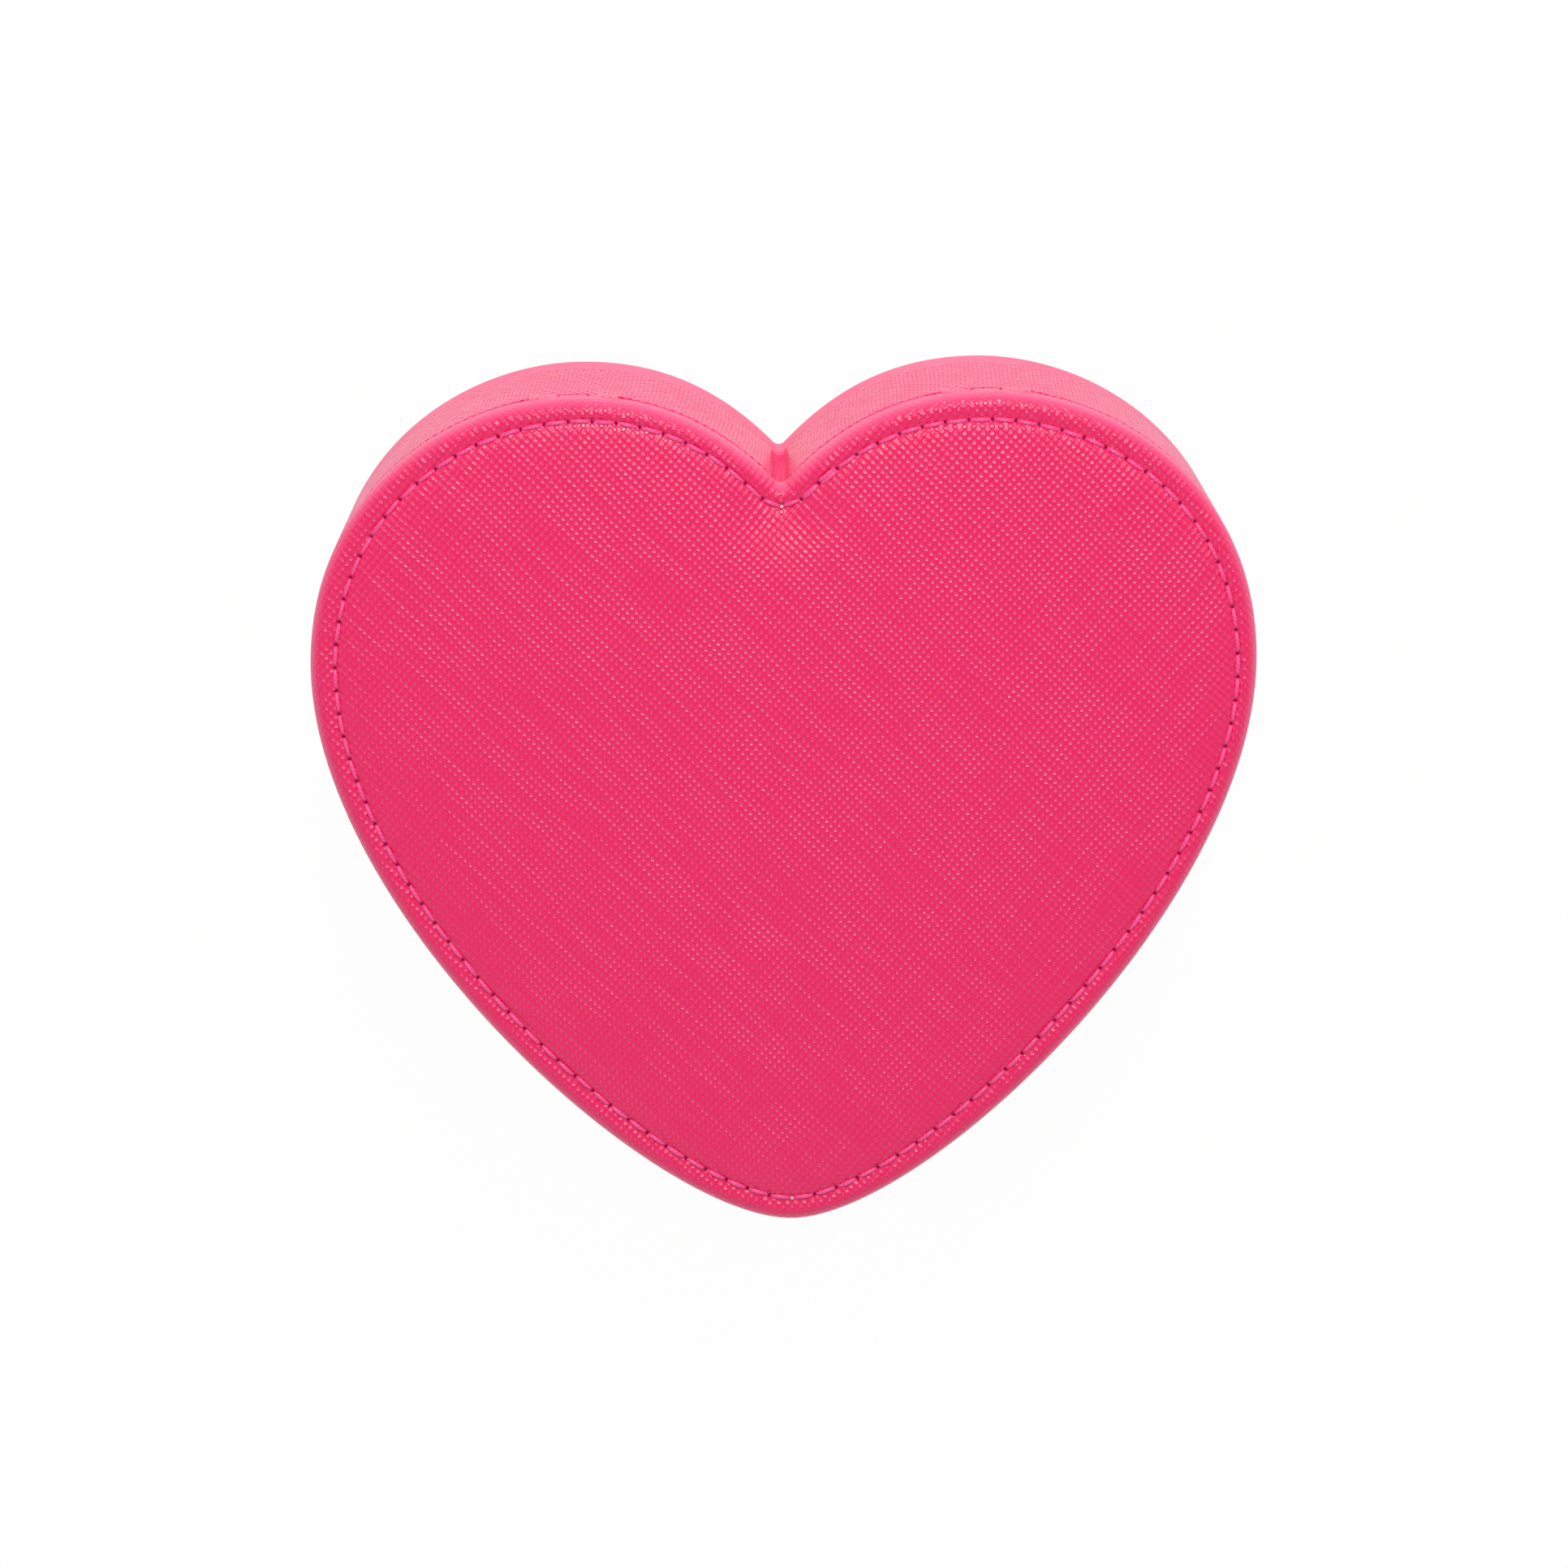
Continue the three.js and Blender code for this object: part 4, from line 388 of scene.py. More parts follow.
def saffiano(name, bead, groove, pit_shading, depth, rough, edge, ior, stretch=1.0):
    """Polyurethane-coated leatherette, pressed between engraved rollers: saturated rounded beads with a satin
    shine stand over paler, duller grooves, and some lines run together where the sheet was stretched. The
    colour given for the pits between the beads is painted light: a painted highlight where it is paler than
    the grooves, painted shade where it is darker. The height is the sum of two sines, one for each family of
    lines."""
    material, tree = new_material(name)
    sheet = add(tree, "UVMap", uv_map="sheet")
    sheet = add(tree, "VectorMath", (sheet, (1.0, 1 / stretch, 1.0)), operation="MULTIPLY")
    # The rollers' lines wander by up to 1 mm over 14 mm, and by 0.3 mm from bead to bead.
    place = sheet
    for size, reach in ((14.0, 1.0), (2.6, 0.3)):
        wander = add(tree, "TexNoise",
                     {"Vector": sheet, "Scale": 1 / (size * MM), "Detail": 1.0}).outputs["Color"]
        place = add(tree, "VectorMath", (wander, (reach * MM,) * 3, place), operation="MULTIPLY_ADD")
    lines = []
    for number, heading in enumerate(GRAIN_HEADINGS):
        c, s = math.cos(math.radians(heading)) / MM, math.sin(math.radians(heading)) / MM
        across = add(tree, "VectorMath", (place, (c, s, 0)), operation="DOT_PRODUCT")
        along = add(tree, "VectorMath", (place, (-s, c, 0)), operation="DOT_PRODUCT")
        # Each line keeps its own strength over a length of some 15 mm, so that ridges run through the beads.
        lane = add(tree, "CombineXYZ", (across, along, 9.1 * number))
        lane = add(tree, "VectorMath", (lane, (1 / 1.2, 1 / 15, 1)), operation="MULTIPLY")
        weight = add(tree, "TexNoise", {"Vector": lane, "Scale": 1.0, "Detail": 1.0})
        weight = add(tree, "MapRange", (weight, 0.35, 0.65, 0.6, 1.35), interpolation_type=SMOOTH)
        wave = add(tree, "Math", (across, TAU / GRAIN_PERIOD), operation="MULTIPLY")
        wave = add(tree, "Math", (wave,), operation="SINE")
        lines.append(add(tree, "Math", (wave, weight), operation="MULTIPLY"))
    total = add(tree, "Math", lines, operation="ADD")
    uneven = add(tree, "TexNoise", {"Vector": sheet, "Scale": 1 / (1.5 * MM), "Detail": 1.0})
    total = add(tree, "Math", (uneven, 0.9, total), operation="MULTIPLY_ADD")
    total = add(tree, "Math", (total, 0.45), operation="SUBTRACT")
    raised = add(tree, "MapRange", (total, *edge), interpolation_type=SMOOTH)
    fine = add(tree, "TexNoise", {"Vector": sheet, "Scale": 1 / (0.3 * MM), "Detail": 3.0})
    relief = add(tree, "Math", (fine, 0.1, raised), operation="MULTIPLY_ADD")
    tone = add(tree, "TexNoise", {"Vector": sheet, "Scale": 1 / (24.0 * MM), "Detail": 3.0})
    # Needle holes: slits across the seam at each whole number of stitches, 0.5 mm long, with no shine,
    # painted dark as painted shade.
    count, from_seam, _ = add(tree, "SeparateXYZ", (add(tree, "UVMap", uv_map="seam"),)).outputs
    turn = add(tree, "Math", (count, math.pi), operation="MULTIPLY")
    turn = add(tree, "Math", (turn,), operation="SINE")
    from_hole = add(tree, "Math", (turn, PITCH / math.pi), operation="MULTIPLY")
    apart = add(tree, "CombineXYZ", (from_hole, from_seam))
    apart = add(tree, "VectorMath", (apart, (1.0, 0.7, 1.0)), operation="MULTIPLY")
    apart = add(tree, "VectorMath", (apart,), operation="LENGTH")
    glint = add(tree, "MapRange", (apart, 0.08, 0.38, 0.0, 0.5), interpolation_type=SMOOTH)
    side = add(tree, "MapRange", (from_seam, -6.0, -3.3, 0.15, 0.5))
    glint = add(tree, "Math", (glint, side), operation="MINIMUM")
    # Painted shade: within about 1 mm of a crease the colour is deeper, where the fold lies in shade. Over
    # the lid's edge and down its side the sheet is painted paler as painted light, and down its side it has
    # less shine.
    fold = add(tree, "SeparateXYZ", (add(tree, "UVMap", uv_map="fold"),)).outputs[0]
    base = colour(groove)
    for limits, coat in (
        ((total, -0.2, 1.0), bead),
        # Painted light at the pits: paler for the lid's painted highlights, darker for painted shade on the
        # wall.
        ((total, -1.7, -0.5, 1.0, 0.0), pit_shading),
        ((tone, 0.35, 0.75, 0.0, 0.15), groove),
        ((apart, 0.08, 0.38, 1.0, 0.0), NEEDLE_HOLE_SHADE),
        ((fold, 0.1, 1.1, 0.5, 0.0), bead),
        # Painted light: the lid's edge roll and side are painted paler.
        ((from_seam, -3.6, -2.1, 0.55, 0.0), PAINTED_EDGE_LIGHT),
    ):
        share = add(tree, "MapRange", limits, interpolation_type=SMOOTH)
        base = add(tree, "Mix", {"Factor": share, 6: base, 7: colour(coat)}, data_type="RGBA")
    dull = add(tree, "MapRange", {"Value": raised, "To Min": rough[0], "To Max": rough[1]})
    normal = add(tree, "Bump", {"Height": relief, "Distance": depth * MM})
    shader = {"Base Color": base, "Roughness": dull, "IOR": ior,
              "Specular IOR Level": glint, "Normal": normal}
    add(tree, "OutputMaterial", (add(tree, "BsdfPrincipled", shader),))
    return material


def sewing_thread(name, ply, between):
    """Bonded polyester sewing thread, three plies twisted: a bright magenta pink with a soft shine and a
    darker line where the plies meet, painted shade in the groove between them."""
    material, tree = new_material(name)
    along, around, _ = add(tree, "SeparateXYZ", (add(tree, "UVMap", uv_map="ply"),)).outputs
    twist = add(tree, "Math", (along, 2.4, around), operation="MULTIPLY_ADD")
    twist = add(tree, "Math", (twist, 2 * TAU), operation="MULTIPLY")
    twist = add(tree, "Math", (twist,), operation="SINE")
    lit = add(tree, "MapRange", (twist, -1.0, 0.2), interpolation_type=SMOOTH)
    # Painted shade: the colour darkens to the second colour in the grooves between the plies.
    base = add(tree, "Mix", {"Factor": lit, 6: colour(between), 7: colour(ply)}, data_type="RGBA")
    normal = add(tree, "Bump", {"Height": lit, "Distance": 0.012 * MM})
    shader = {"Base Color": base, "Roughness": 0.36, "Normal": normal}
    add(tree, "OutputMaterial", (add(tree, "BsdfPrincipled", shader),))
    return material


def finish(name, face, patterns, coats=(), rough=0.5, bump=None, **nature):
    """Material whose patterns lie in the object's own space. Each pattern is a kind of noise, its size in
    millimetres, detail and roughness, and maybe how much closer it is packed along each axis. A coat is a
    pattern, the two levels of it between which the coat's share runs smoothly from one value to another, and
    its colour. rough is one value or a pattern's range, bump a pattern and its depth in millimetres, and
    nature the rest of what the shader is told."""
    material, tree = new_material(name)
    place = add(tree, "TexCoord").outputs["Object"]
    made = {}
    for title, (kind, size, detail, roughness, *packed) in patterns.items():
        vector = add(tree, "Mapping", {"Vector": place, "Scale": packed[0]}) if packed else place
        settings = {"Vector": vector, "Scale": 1 / (size * MM), "Detail": detail, "Roughness": roughness}
        made[title] = add(tree, kind, settings)
    base = colour(face)
    for title, low, high, least, most, coat in coats:
        share = add(tree, "MapRange", (made[title], low, high, least, most), interpolation_type=SMOOTH)
        base = add(tree, "Mix", {"Factor": share, 6: base, 7: colour(coat)}, data_type="RGBA")
    if isinstance(rough, tuple):
        rough = add(tree, "MapRange", (made[rough[0]], *rough[1:]), interpolation_type=SMOOTH)
    shader = {"Base Color": base, "Roughness": rough}
    shader.update({socket.replace("_", " "): value for socket, value in nature.items()})
    if bump:
        shader["Normal"] = add(tree, "Bump", {"Height": made[bump[0]], "Distance": bump[1] * MM})
    add(tree, "OutputMaterial", (add(tree, "BsdfPrincipled", shader),))
    return material


NOISE, CELLS = "TexNoise", "TexVoronoi"


def velvet(name, pile, shadow, tuft=0.45):
    """Short-pile velvet, woven and cropped: each tuft painted darker down between its neighbours as painted
    shade, with a pale sheen where the pile is seen from the side and soft patches of painted shade where it
    was brushed."""
    patterns = {"tufts": (NOISE, tuft, 3.0, 0.7), "brushed": (NOISE, 9.0, 3.0, 0.6)}
    # The tufts run from shadow up to the pile's colour.
    coats = [("tufts", 0.3, 0.65, 0.0, 1.0, pile), ("brushed", 0.35, 0.65, 0.0, 0.3, shadow)]
    bump = ("tufts", 0.25)
    return finish(name, shadow, patterns, coats, 0.95, bump, Sheen_Weight=0.6, Sheen_Roughness=0.35)


def metal(name, clean, stained, rough, grain, spread, streak=(1, 1, 1)):
    """Bare or plated metal, its scratches grain millimetres apart. streak packs them closer along one axis,
    as turning, rolling or grinding leaves them; an even streak is the orange peel of a tumbled or cast
    piece."""
    patterns = {"marks": (NOISE, grain, 4.0, 0.65, streak), "stain": (NOISE, 3.5, 4.0, 0.5)}
    coats = [("stain", 0.4, 0.8, 0.0, 0.5, stained)]
    dull = ("marks", 0.2, 0.8, rough - spread / 2, rough + spread / 2)
    return finish(name, clean, patterns, coats, dull, ("marks", 0.012), Metallic=1.0)


def plastic(name, face, rough):
    """Moulded or stoved plastic with the faint texture of its tool, 0.6 mm across."""
    coats = [("marks", 0.3, 0.7, 0.0, 0.12, "FFFFFF")]
    return finish(name, face, {"marks": (NOISE, 0.6, 3.0, 0.5)}, coats, rough, ("marks", 0.01), IOR=1.46)


SAFFIANO = saffiano(
    "cross_grain_leatherette",
    bead="EA0456",
    groove="DE125E",
    pit_shading="E22C6C",
    depth=0.115,
    rough=(0.4, 0.32),
    edge=(-1.7, 1.6),
    ior=1.55,
)
# The strip round the wall was pulled taut before it was glued. Its grain is drawn 1.7 times as tall as on the
# lid, because at its true height it is too fine to show from above. Its colours are paler than the lid's: a
# painted reflection of the white room, which the wall shows at a glancing view, with darker pits as painted
# shade.
WALL_SAFFIANO_PAINTED_REFLECTION = saffiano(
    "wall_cross_grain_leatherette_painted_reflection",
    bead="F43A84",
    groove="EA226A",
    pit_shading="D2104E",
    depth=0.03,
    rough=(0.8, 0.3),
    edge=(-1.3, -0.2),
    ior=1.37,
    stretch=1.7,
)
# The same coated cloth without its embossing: an even satin with a faint fine haze of pores.
PLINTH_SKIN = finish(
    "smooth_leatherette",
    "EC4A80",
    {"tone": (NOISE, 18.0, 3.0, 0.5), "pores": (NOISE, 0.5, 4.0, 0.6)},
    [("tone", 0.3, 0.7, 0.0, 0.25, "F77F9E")],
    rough=0.5,
    bump=("pores", 0.02),
    IOR=1.5,
)
THREAD = sewing_thread("bonded_sewing_thread", "F04F8C", "E63A7C")
FUSED_THREAD = plastic("fused_thread_end", "DDA0A8", 0.35)
# Velvet in the rooms, microsuede brushed to a finer nap below, and a dense matted felt on the brake.
VELVET = velvet("blush_velvet", "F6B3C6", "D9809B")
SUEDE = velvet("brushed_microsuede", "DB5179", "B23A5E", 0.3)
FELT = velvet("pressed_wool_felt", "4D7D58", "2F5439", 0.5)
# Pressed recycled-paper board: matt, warm grey, flecked with short fibres 0.5 mm wide.
BOARD = finish(
    "raw_greyboard",
    "877E72",
    {"fibres": (NOISE, 0.5, 5.0, 0.7), "flecks": (CELLS, 1.6, 0.0, 0.5)},
    [("fibres", 0.35, 0.65, 0.0, 1.0, "A89F92"), ("flecks", 0.02, 0.12, 0.5, 0.0, "5E564C")],
    rough=0.92,
    bump=("fibres", 0.08),
)
# Brass bright from the lathe, steel with the fine lines of its grinding, polished screws, zinc tumbled to a
# dull even skin, and a warm bright nickel plate.
BRASS = metal("turned_brass", "D9B25C", "B98F3E", 0.28, 0.3, 0.14)
STEEL = metal("ground_steel", "D0D3D6", "B4B8BC", 0.26, 0.5, 0.16, (1, 12, 1))
POLISHED = metal("polished_steel", "C9CDD2", "A9AEB4", 0.2, 0.4, 0.1)
ZINC = metal("tumbled_zinc_plate", "C3C5C7", "A5A8AA", 0.42, 0.25, 0.2)
NICKEL = metal("bright_nickel_plate", "D8D6D0", "C8C5BD", 0.14, 0.6, 0.08)
# Acetal is a faintly waxy white, the stoved enamel a glossy pink like the leatherette's.
NYLON = plastic("moulded_acetal", "F1F1EC", 0.42)
ENAMEL = plastic("stoved_pink_enamel", "EE4C79", 0.3)
# Polished cast acrylic: clear, glossy, with only a trace of haze and rub marks.
ACRYLIC = finish(
    "polished_clear_acrylic",
    "F8FCFC",
    {"rubs": (NOISE, 6.0, 5.0, 0.7)},
    rough=("rubs", 0.4, 0.8, 0.01, 0.06),
    IOR=1.49,
    Transmission_Weight=1.0,
)
# Float glass silvered on its back: a clean, faintly green mirror with barely any haze.
MIRROR = finish(
    "silvered_glass",
    "EEF3F1",
    {"haze": (NOISE, 12.0, 4.0, 0.5)},
    rough=("haze", 0.4, 0.8, 0.015, 0.05),
    Metallic=1.0,
)

# ---- Camera ----

CAMERA_AIM = np.array([0.0, 2.865, 43.0])
CAMERA_DISTANCE = 861.0
CAMERA_TILT, CAMERA_SWING, CAMERA_ROLL = math.radians(10.92), math.radians(-0.36), math.radians(0.86)
SENSOR, FOCAL_LENGTH = 36.0, 132.37267
# How far the lens is shifted, in widths of the sensor.
SHIFT = (-0.001019668737, 0.002334368530)


def posed(name, data, place, back, level, roll=0.0):
    """Camera or lamp at place, looking away from back: its right hand is level cross back, its top is back
    cross right, and the two are turned by roll."""
    right = np.cross(level, back)
    right /= np.linalg.norm(right)
    top = np.cross(back, right)
    c, s = math.cos(roll), math.sin(roll)
    pose = np.eye(4)
    pose[:3] = np.column_stack([c * right - s * top, s * right + c * top, back, place * MM])
    item = bpy.data.objects.new(name, data)
    bpy.context.collection.objects.link(item)
    item.matrix_world = Matrix(pose.tolist())
    return item


def add_camera():
    """Looks down on the lid from a little behind the hinges, the point of the heart towards the bottom."""
    out = math.cos(CAMERA_TILT)
    back = np.array([math.sin(CAMERA_SWING) * out, math.sin(CAMERA_TILT), math.cos(CAMERA_SWING) * out])
    data = bpy.data.cameras.new("camera")
    data.sensor_width = SENSOR
    data.lens = FOCAL_LENGTH
    data.shift_x, data.shift_y = SHIFT
    data.clip_start, data.clip_end = 0.01, 20
    place = CAMERA_AIM + CAMERA_DISTANCE * back
    bpy.context.scene.camera = posed("camera", data, place, back, (0, 1, 0), CAMERA_ROLL)


add_camera()

# ---- Lid ----

FACE_REACH = 45.0
BEAD_WIDTH, VALLEY_WIDTH, HOLE_WIDTH = 1.05, 0.62, 0.5
PUFF_INSET, PUFF_WIDTH, PUFF_RISE = 1.15, 0.6, 0.07
DIMPLE_HALF_X, DIMPLE_HALF_Y = 5.5, 5.0
# Millimetres that stand for nowhere near, where a map gives the distance from the seam or a fold.
FAR = 9.0


def crown(inset):
    """Height of the lid's upper face: a quarter-round edge, then from the seam inwards a pillow that climbs
    at once and levels off (one less an exponential), less the valley that the seam pulls down (a bell curve,
    wider outside the seam, where it leaves a rounded bead)."""
    inset = np.asarray(inset, float)
    fall = np.sqrt(np.maximum(EDGE_ROLL**2 - np.maximum(EDGE_ROLL - inset, 0) ** 2, 0))
    rise = PILLOW_RISE * (1 - np.exp(-np.maximum(inset - SEAM_INSET, 0) / PILLOW_EASE))
    width = np.where(inset < SEAM_INSET, BEAD_WIDTH, VALLEY_WIDTH)
    return RIM_TOP - EDGE_ROLL + fall + rise - SEAM_DEPTH * bell(inset - SEAM_INSET, width)


def seam_stray(stations):
    """How far inside its even line the seam lies at each station: a sum of sine waves round the lid."""
    share = np.arange(stations) / stations
    return sum(reach * np.sin(TAU * waves * share + phase) for waves, reach, phase in SEAM_STRAY)


def dimple(points):
    """Depth of the hollow where the cleft pulls the cover down: a bell round the seam's innermost point."""
    away = np.hypot(points[..., 0] / DIMPLE_HALF_X, (points[..., 1] - CLEFT_Y + SEAM_INSET) / DIMPLE_HALF_Y)
    return DIMPLE_DEPTH * bell(away, 1)


def lid_skin():
    """One leatherette sheet: flat turn-in, lower roll, side, upper roll, seam valley and pillow. The seam is
    pulled deeper at every needle hole and the edge puffs up between the holes: bell curves across the
    profile, times a pull that is half of one plus the cosine of the stitch count."""
    side_top = RIM_TOP - EDGE_ROLL
    edge = [(TURN_IN, LID_BOTTOM), (7.0, LID_BOTTOM), (2.6, LID_BOTTOM)]
    edge += arc(LOWER_ROLL, LID_BOTTOM + LOWER_ROLL, LOWER_ROLL, -90, -180, 7)
    edge += [(0.0, 44.33), (0.0, 45.2), (0.0, 46.4), (0.0, side_top)]
    near_seam = SEAM_INSET + np.arange(-0.4, 0.5, 0.2)
    insets = np.array([0.1, 0.3, 0.6, 1.0, 1.4, 1.75, 2.1, 2.45, 2.8, *near_seam, 4.25, 4.8, 5.6, 6.8, 8.5])
    profile = np.array(edge + list(zip(insets, crown(insets))))
    rows = stack(profile)
    stitch = np.arange(rows.shape[1] + 1) / STATIONS_PER_STITCH
    pull = 0.5 + 0.5 * np.cos(TAU * stitch[:-1])
    inset = profile[:, :1]
    upper = profile[:, 1:] > side_top + 0.5
    rows[..., 2] -= HOLE_DEPTH * bell(inset - SEAM_INSET, HOLE_WIDTH) * upper * pull**2
    rows[..., 2] += PUFF_RISE * bell(inset - PUFF_INSET, PUFF_WIDTH) * upper * (1 - pull)
    stray = bell(inset - SEAM_INSET, 1) * upper * seam_stray(len(pull))
    rows[..., :2] -= OUTWARD * stray[..., None]
    # Inside the last loop the face is drawn in to the heart's middle, each row at the crown's height there.
    shares = np.array([0.95, 0.88, 0.78, 0.66, 0.52, 0.35, 0.18])
    plans = [HEART_MIDDLE + (rows[-1, :, :2] - HEART_MIDDLE) * share for share in shares]
    rows = np.concatenate([rows, levels(zip(plans, crown(insets[-1] + FACE_REACH * (1 - shares))))])
    rows[..., 2] -= dimple(rows) * np.append(upper, np.ones(len(shares)))[:, None]
    rows = pocketed(rows)
    # The sheet laid flat: plan position inside the roll, and past it the run of the profile along the normal.
    turning_row = len(edge) + np.argmax(insets >= 1.7)
    run = run_along(profile[: turning_row + 1])
    flat = rows[..., :2].copy()
    flat[:turning_row] = flat[turning_row] + OUTWARD * (run[-1] - run[:-1])[:, None, None]
    flat = np.concatenate([flat, flat[:, :1]], axis=1)
    from_seam = np.where(upper[:, 0], inset[:, 0] - SEAM_INSET, -FAR)
    from_seam = np.append(from_seam, np.full(len(shares), FAR))
    seam = np.stack(np.broadcast_arrays(stitch, from_seam[:, None]), axis=-1)
    piece = surface(
        "lid_padded_cover",
        rows,
        SAFFIANO,
        sharp=180,
        caps=(False, True),
        maps={"sheet": flat * MM, "seam": seam, "fold": np.full(seam.shape, FAR)},
        outward=(*HEART_MIDDLE, LID_BOTTOM + 2),
    )
    thicken(piece, SKIN)
    return seat(piece, "lid", "saffiano", "lid_cover", "lid_padding")


THREAD_WIDTH, THREAD_THICKNESS, THREAD_ARCH, THREAD_DIVE = 0.66, 0.58, 0.16, 0.45
# A stitch comes up this share of its length past its hole, and its ends wander sideways by this much.
HOLE_SHARE, WANDER = 0.055, 0.05
# Stitches sewn over the seam's first ones to lock it: number, millimetres inwards, millimetres higher.
LOCK_STITCHES = [(1, 0.2, 0.12), (2, 0.22, 0.14), (2, -0.16, 0.18)]


def stitch_shell(start, end, swell):
    """One visible stitch: an elliptical bar from hole to hole whose middle arches up (the root of a sine) and
    whose ends dive under the surface, fullest halfway."""
    rings, sides = 9, 8
    t = 0.5 - 0.5 * np.cos(math.pi * np.linspace(0, 1, rings))
    upright = np.array([0, 0, 1.0])
    side = np.cross(upright, (end - start) / np.linalg.norm(end - start))
    arch = np.sin(math.pi * t) ** 0.5
    centre = start + (end - start) * t[:, None]
    centre[:, 2] += THREAD_ARCH * arch - THREAD_DIVE * (1 - arch)
    girth = 0.8 + 0.2 * arch + swell * (np.sin(math.pi * t) ** 2)
    a = np.linspace(0, TAU, sides, endpoint=False)[:, None]
    section = np.cos(a) * side * (THREAD_WIDTH / 2) + np.sin(a) * upright * (THREAD_THICKNESS / 2)
    points = centre[:, None] + girth[:, None, None] * section
    quads, row_of, column_of = grid_faces(rings, sides)
    ends = [np.arange(sides)[None, ::-1], (rings - 1) * sides + np.arange(sides)[None]]
    ply = np.stack([t[row_of], column_of / sides], axis=-1)
    return points.reshape(-1, 3), [quads, *ends], {"ply": [ply, *np.zeros((2, sides, 2))]}


def topstitch():
    """All the stitches of the lid's seam in one piece, one bar for each pitch, doubled where the seam was
    started and locked beside the cleft."""
    seam = loop(SEAM_INSET)
    seam = seam - OUTWARD * seam_stray(len(seam))[:, None]
    floor = RIM_TOP - SEAM_DEPTH
    stitches = []
    for number, shift, lift in [(k, 0.0, 0.0) for k in range(2 * STITCHES_PER_HALF)] + LOCK_STITCHES:
        ends = []
        for station, wobble in zip((number, number + 1), rng.normal(0, WANDER, 2)):
            k = station * STATIONS_PER_STITCH % len(seam)
            end = np.array([*(seam[k] - OUTWARD[k] * (shift + wobble)), floor + lift])
            ends.append(end - (0, 0, dimple(end)))
        gap = (ends[1] - ends[0]) * HOLE_SHARE
        stitches.append(stitch_shell(ends[0] + gap, ends[1] - gap, 0.04 + 0.05 * rng.random()))
    seat(joined("lid_topstitch", stitches, THREAD, 60), "lid", "saffiano")
    # The thread's ends, melted into small pale beads where the seam turns at the cleft and at the tip.
    down = np.linspace(0.1, math.pi - 0.1, 9)
    bead = THREAD_END_RADIUS * np.column_stack([np.sin(down), 0.7 * np.cos(down)])
    for name, station in (("cleft", 0), ("tip", len(seam) // 2)):
        centre = np.array([*seam[station], floor + 0.12])
        points = turned_grid(bead, centre - (0, 0, dimple(centre)), sides=14)
        seat(surface(f"thread_end_{name}", points, FUSED_THREAD, caps=(True, True)), "lid", "saffiano")


# ---- Tray skins ----


def wall_skin():
    """Leatherette strip round the tray: up the wall, over the rolled top edge and in to the lining. Its two
    ends meet in the cleft, where the sheet is creased into a narrow upright fold."""
    foot = PLINTH_TOP + 0.05
    heights = [*np.linspace(12.5, 39.5, 9), 40.6, 41.3, 41.67, WALL_TOP - LOWER_ROLL]
    profile = [(1.0, foot), (0.25, foot), (0.0, 11.2)] + [(0.0, z) for z in heights]
    profile += arc(LOWER_ROLL, WALL_TOP - LOWER_ROLL, LOWER_ROLL, 180, 90, 7)[1:]
    profile += [(3.6, WALL_TOP), (ROOM_INSET - 0.2, WALL_TOP), (ROOM_INSET, WALL_TOP - 0.2)]
    profile = np.array(profile + [(ROOM_INSET, WALL_TOP - 1.0)])
    rows = stack(profile)
    rim = loop(0)
    run = run_along(np.vstack([rim, rim[:1]]))
    from_fold = np.append(np.minimum(run, run[-2] - run)[:-1], 0.0)
    # In the cleft the fillet is drawn back to within an eighth of the corner between its two sides.
    corner = CLEFT_Y + CLEFT_FILLET - CLEFT_FILLET / math.cos(CLEFT_SLOPE)
    above = np.maximum(rim[:, 1] - corner - np.abs(rim[:, 0]) * math.tan(CLEFT_SLOPE), 0)
    above *= from_fold[:-1] < CLEFT_FILLET * CLEFT_SLOPE
    rows[:, :, 1] -= 0.88 * np.clip(1 - profile[:, :1] / LOWER_ROLL, 0, 1) * above
    # The strip laid flat: run along the outline, and run up the profile.
    flat = np.stack(np.broadcast_arrays(run, run_along(profile)[:, None]), axis=-1)
    fold = np.broadcast_to(from_fold[:, None], flat.shape)
    piece = surface(
        "tray_wall_cover",
        pocketed(rows),
        WALL_SAFFIANO_PAINTED_REFLECTION,
        sharp=60,
        maps={"sheet": flat * MM, "seam": np.full(flat.shape, FAR), "fold": fold},
        outward=(*HEART_MIDDLE, 30),
    )
    thicken(piece, SKIN)
    return seat(piece, "case", "saffiano", "wall_cover")


def plinth_skin():
    """Smooth leatherette band round the foot of the tray, its lower edge soft and its upper one turned in."""
    profile = arc(0.6, PLINTH_LIFT + 0.6, 0.6, -90, -180, 4)
    profile += [(0.0, 3.0), (0.0, 6.0), (0.0, PLINTH_TOP - 0.6)]
    profile += arc(0.4, PLINTH_TOP - 0.4, 0.4, 180, 90, 3)
    profile += [(1.0, PLINTH_TOP), (1.0, 6.0), (1.0, PLINTH_LIFT)]
    piece = surface("plinth_band_cover", stack(profile), PLINTH_SKIN, tube=True)
    return seat(piece, "case", "smooth_leatherette", "plinth_band")


lid_skin()
topstitch()
wall_skin()
plinth_skin()

# ---- Velvet rooms of the tray ----

COVER_HALF_X, COVER_HALF_Y, COVER_Y = 27.5, 23.5, 18.0
LINING_OUTER = 4.25


def wall_velvet():
    """Velvet strip inside the wall, its top edge turned over: the section is closed and follows the heart."""
    low, top = DECK_TOP + 0.15, WALL_TOP - 1.1
    section = [(LINING_OUTER, low), (LINING_OUTER, 25.0), (LINING_OUTER, top)]
    section += arc(ROOM_INSET - 0.45, top - 0.45, 0.45, 90, 0, 4)
    section += [(ROOM_INSET, 35.0), (ROOM_INSET, 28.0), (ROOM_INSET, 22.0), (ROOM_INSET, low)]
    piece = surface("tray_wall_velvet", stack(section, coarse=True), VELVET, tube=True)
    return seat(piece, "case", "velvet", "wall_lining")


